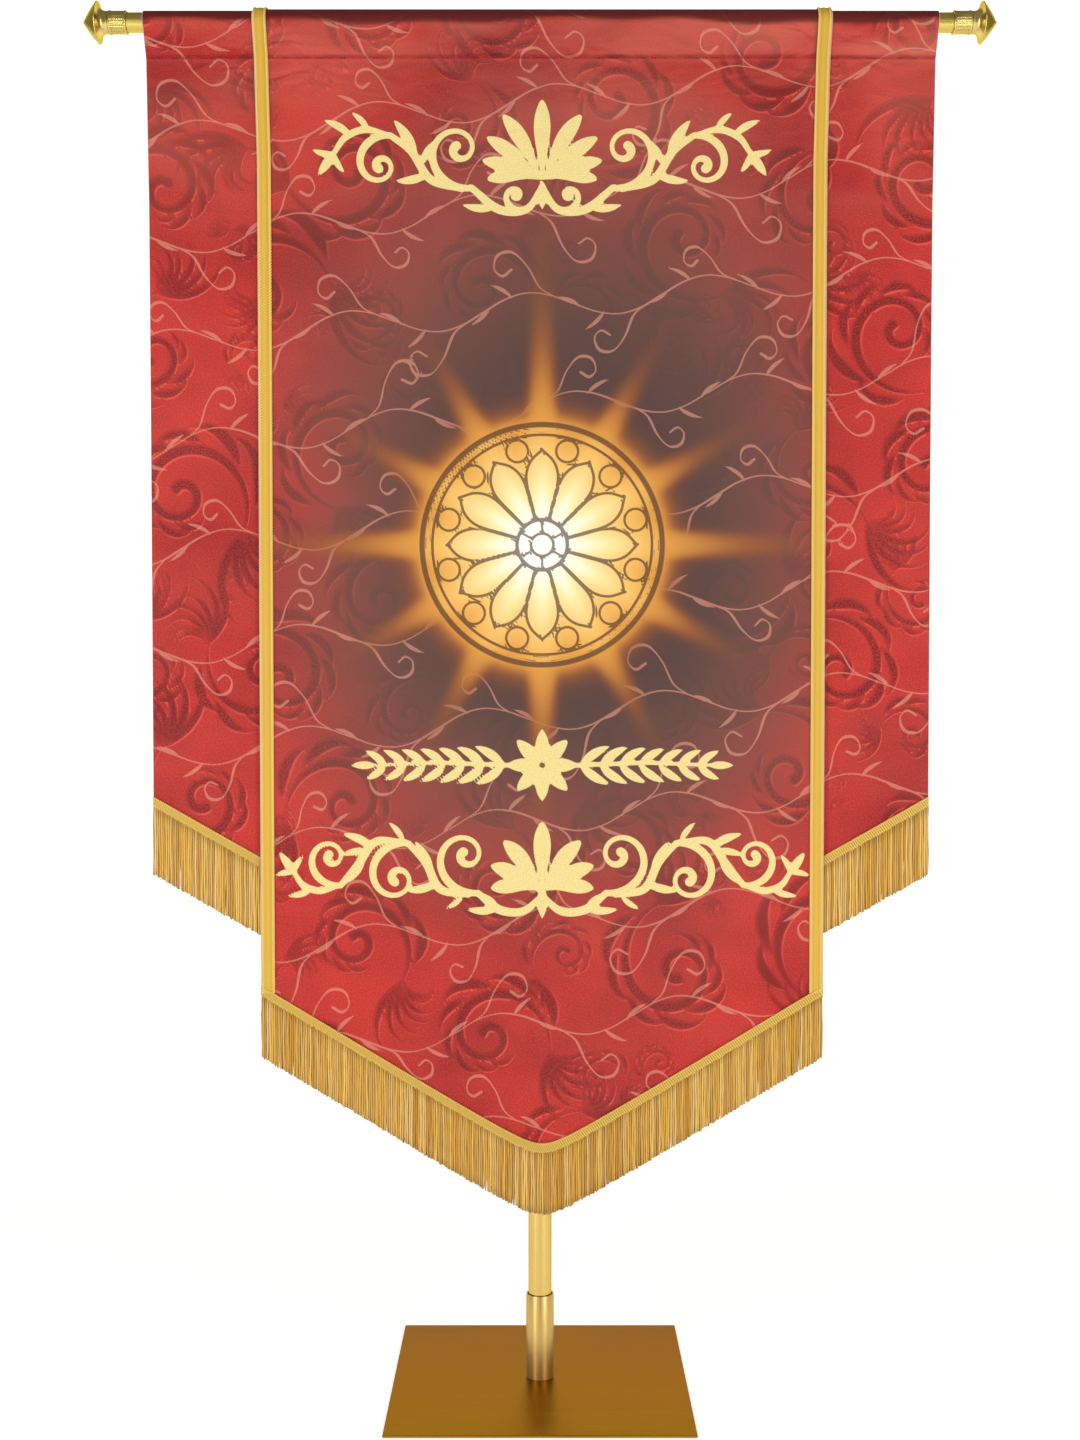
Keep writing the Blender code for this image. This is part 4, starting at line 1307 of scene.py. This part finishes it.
def makeSatinGold(name, colours, edgeTint, roughness, streaks, metallic=1.0):
    # Gold plate over steel: fine polishing streaks, and slow changes of tone from the plating
    material, tree, shader = startMaterial(name)
    place = addNode(tree, "TexCoord")
    drawn = addNode(tree, "Mapping", {"Scale": streaks}, {"Vector": place.outputs["Object"]})
    lines = addNode(tree, "TexNoise", {"Scale": 1.0, "Detail": 4.0, "Roughness": 0.6},
                    {"Vector": drawn.outputs[0]})
    clouds = addNode(tree, "TexNoise", {"Scale": 9.0, "Detail": 2.0}, {"Vector": place.outputs["Object"]})
    patches = addNode(tree, "MapRange", {"To Min": 0.86, "To Max": 1.14}, {"Value": clouds.outputs[0]})
    tone = addNode(tree, "Math", None, {0: lines.outputs[0], 1: patches.outputs[0]}, operation="MULTIPLY")
    ramp = addNode(tree, "ValToRGB", None, {0: tone.outputs[0]})
    ramp.color_ramp.elements[0].position = 0.32
    ramp.color_ramp.elements[0].color = linear(colours[0])
    ramp.color_ramp.elements[1].position = 0.68
    ramp.color_ramp.elements[1].color = linear(colours[1])
    shader.inputs["Specular Tint"].default_value = linear(edgeTint)
    tree.links.new(ramp.outputs[0], shader.inputs["Base Color"])
    shader.inputs["Metallic"].default_value = metallic
    gloss = addNode(tree, "MapRange", {"From Min": 0.3, "From Max": 0.7, "To Min": roughness - 0.05,
                                       "To Max": roughness + 0.06}, {"Value": lines.outputs[0]})
    tree.links.new(gloss.outputs[0], shader.inputs["Roughness"])
    bump = addNode(tree, "Bump", {"Strength": 0.05, "Distance": 0.0001}, {"Height": lines.outputs[0]})
    tree.links.new(bump.outputs[0], shader.inputs["Normal"])
    return material


brushedPlate = makeSatinGold("brushed_gold_lacquer", ("#906824", "#9E742A"), "#C6A674", 0.33, (8.0, 420.0,
                                                                                               420.0), 0.9)
satinTube = makeSatinGold("satin_gold_plate", ("#D8B664", "#E4C87C"), "#E4C87C", 0.25, (600.0, 600.0, 7.0))
satinSleeve = makeSatinGold("satin_gold_sleeve", ("#D8B264", "#E6C67E"), "#E2CA9C", 0.34, (600.0, 600.0,
                                                                                           7.0), 0.8)
satinBar = makeSatinGold("satin_gold_bar", ("#CFB552", "#DECA70"), "#DECA70", 0.26, (7.0, 600.0, 600.0))
polishedFitting = makeSatinGold("polished_gold_fitting", ("#CDB766", "#DCC87E"), "#DCC87E", 0.24, (60.0,
                                                                                                   60.0, 60.0))


def makeFootPlate():
    side, thick = stand["plateSide"], stand["plateThick"]
    startPiece()
    bpy.ops.mesh.primitive_cube_add(size=1.0, location=(0, 0, thick / 2), scale=(side, side, thick))
    bpy.ops.object.transform_apply(location=True, rotation=True, scale=True)
    piece = bpy.context.active_object
    bevel = piece.modifiers.new("edge", "BEVEL")
    bevel.width = stand["plateBevel"]
    bevel.segments = 3
    bpy.ops.object.modifier_apply(modifier=bevel.name)
    finishPiece("foot_plate", brushedPlate, "base_plate")


def makeSocket():
    low = stand["plateThick"] + touch
    bore, radius, top, c = (stand["socketBore"], stand["socketRadius"], stand["socketTop"],
                            stand["socketChamfer"])
    profile = [(bore, low), (radius, low), (radius, top - c), (radius - c * 0.3, top - c * 0.3),
               (radius - c, top),
               (bore + c, top), (bore + c * 0.3, top - c * 0.3), (bore, top - c)]
    spinProfile([(r, 0, z) for r, z in profile], (0, 0, 0), (0, 0, 1), True)
    finishPiece("foot_socket", satinSleeve, "base_socket")


def makePole():
    low = stand["plateThick"] + touch
    top = stand["barZ"] - stand["poleSaddle"]
    bore, radius = stand["poleBore"], stand["poleRadius"]
    profile = [(bore, low), (radius, low), (radius, top), (bore, top)]
    spinProfile([(r, 0, z) for r, z in profile], (0, 0, 0), (0, 0, 1), True)
    pole = bpy.context.active_object
    startPiece()
    saddle = stand["barRadius"] + touch
    bpy.ops.mesh.primitive_cylinder_add(vertices=96, radius=saddle, depth=0.06,
                                        location=(0, 0, stand["barZ"]), rotation=(0, math.pi / 2, 0))
    cutter = bpy.context.active_object
    bpy.context.view_layer.objects.active = pole
    cut = pole.modifiers.new("saddle", "BOOLEAN")
    cut.operation = "DIFFERENCE"
    cut.object = cutter
    bpy.ops.object.modifier_apply(modifier=cut.name)
    bpy.data.objects.remove(cutter)
    startPiece()
    pole.select_set(True)
    finishPiece("upright_pole", satinTube, "pole")


def makeBar():
    half, bore, radius = stand["barHalf"], stand["barBore"], stand["barRadius"]
    profile = [(-half, bore), (-half, radius), (half, radius), (half, bore)]
    spinProfile([(x, 0, stand["barZ"] + r) for x, r in profile], (0, 0, stand["barZ"]), (1, 0, 0), True)
    finishPiece("cross_bar", satinBar, "crossbar")


collar = {"ridges": 8, "zigzag": 0.00035, "length": 0.0212, "radius": 0.0135, "waist": 0.0131,
          "lip": 0.0024, "chamfer": 0.0008,
          "knurlDepth": 0.0005}


def makeCollar(label, side):
    end = stand["barHalf"]
    start = end - collar["length"]
    bore = stand["barRadius"] + touch
    radius, waist, lip, c = collar["radius"], collar["waist"], collar["lip"], collar["chamfer"]
    profile = [(bore, start), (radius - c, start), (radius - c * 0.3, start + c * 0.3), (radius, start + c),
               (radius, start + lip), (waist, start + lip)]
    rows = 2 * collar["ridges"]
    for row in range(1, rows):
        profile.append((waist, start + lip + (collar["length"] - 2 * lip) * row / rows))
    profile += [(waist, end - lip), (radius, end - lip), (radius, end - c * 0.5), (radius - c * 0.5, end),
                (bore, end)]
    spinProfile([(side * x, 0, stand["barZ"] + r) for r, x in profile], (0, 0, stand["barZ"]), (1, 0, 0),
                True)
    piece = bpy.context.active_object
    bpy.ops.object.transform_apply(location=True, rotation=True, scale=True)
    # the grip: ridges run round the waist, and zigzag a little along it
    for vertex in piece.data.vertices:
        x, y, z = vertex.co
        r = math.hypot(y, z - stand["barZ"])
        if abs(r - waist) < 0.00003 and start + lip < abs(x) < end - lip:
            row = round((abs(x) - start - lip) / (collar["length"] - 2 * lip) * rows)
            place = round(math.atan2(y, z - stand["barZ"]) / (2 * math.pi) * stand["turns"])
            share = (waist - collar["knurlDepth"] * (row % 2)) / r
            x += collar["zigzag"] * (1 if place % 4 < 2 else -1)
            vertex.co = (x, y * share, stand["barZ"] + (z - stand["barZ"]) * share)
    finishPiece(f"{label}_collar", polishedFitting, f"collar_{label}", 0.35)


finial = {"tip": 0.5283, "spigot": 0.020, "neck": 0.0129, "bell": 0.0230, "bellLength": 0.0115,
          "bellCurve": 4.2, "flange": 0.0239, "flangeThick": 0.0014, "chamfer": 0.0004, "dome": 0.0230,
          "fullness": 0.3}


def makeFinial(label, side):
    start = stand["barHalf"] + touch
    rim = start + finial["bellLength"]
    dome = rim + finial["flangeThick"]
    spigot = stand["barBore"] - touch
    c = finial["chamfer"]
    profile = [(0.0, start - finial["spigot"]), (spigot, start - finial["spigot"]), (spigot, start)]
    for step in range(13):
        share = step / 12
        radius = finial["neck"] + (finial["bell"] - finial["neck"]) * share ** finial["bellCurve"]
        profile.append((radius, start + finial["bellLength"] * share))
    profile += [(finial["flange"] - c, rim), (finial["flange"] - c * 0.3, rim + c * 0.3),
                (finial["flange"], rim + c), (finial["flange"], dome - c),
                (finial["flange"] - c * 0.3, dome - c * 0.3), (finial["flange"] - c, dome)]
    for step in range(15):
        share = step / 14
        radius = finial["dome"] * (1 - share) * (1 + finial["fullness"] * share)
        profile.append((radius, dome + (finial["tip"] - dome) * share))
    spinProfile([(side * x, 0, stand["barZ"] + r) for r, x in profile], (0, 0, stand["barZ"]), (1, 0, 0),
                False)
    finishPiece(f"{label}_finial", polishedFitting, f"finial_{label}")


makeFootPlate()
makeSocket()
makePole()
makeBar()
for side, label in ((-1, "left"), (1, "right")):
    makeCollar(label, side)
    makeFinial(label, side)
print("the stand is made")
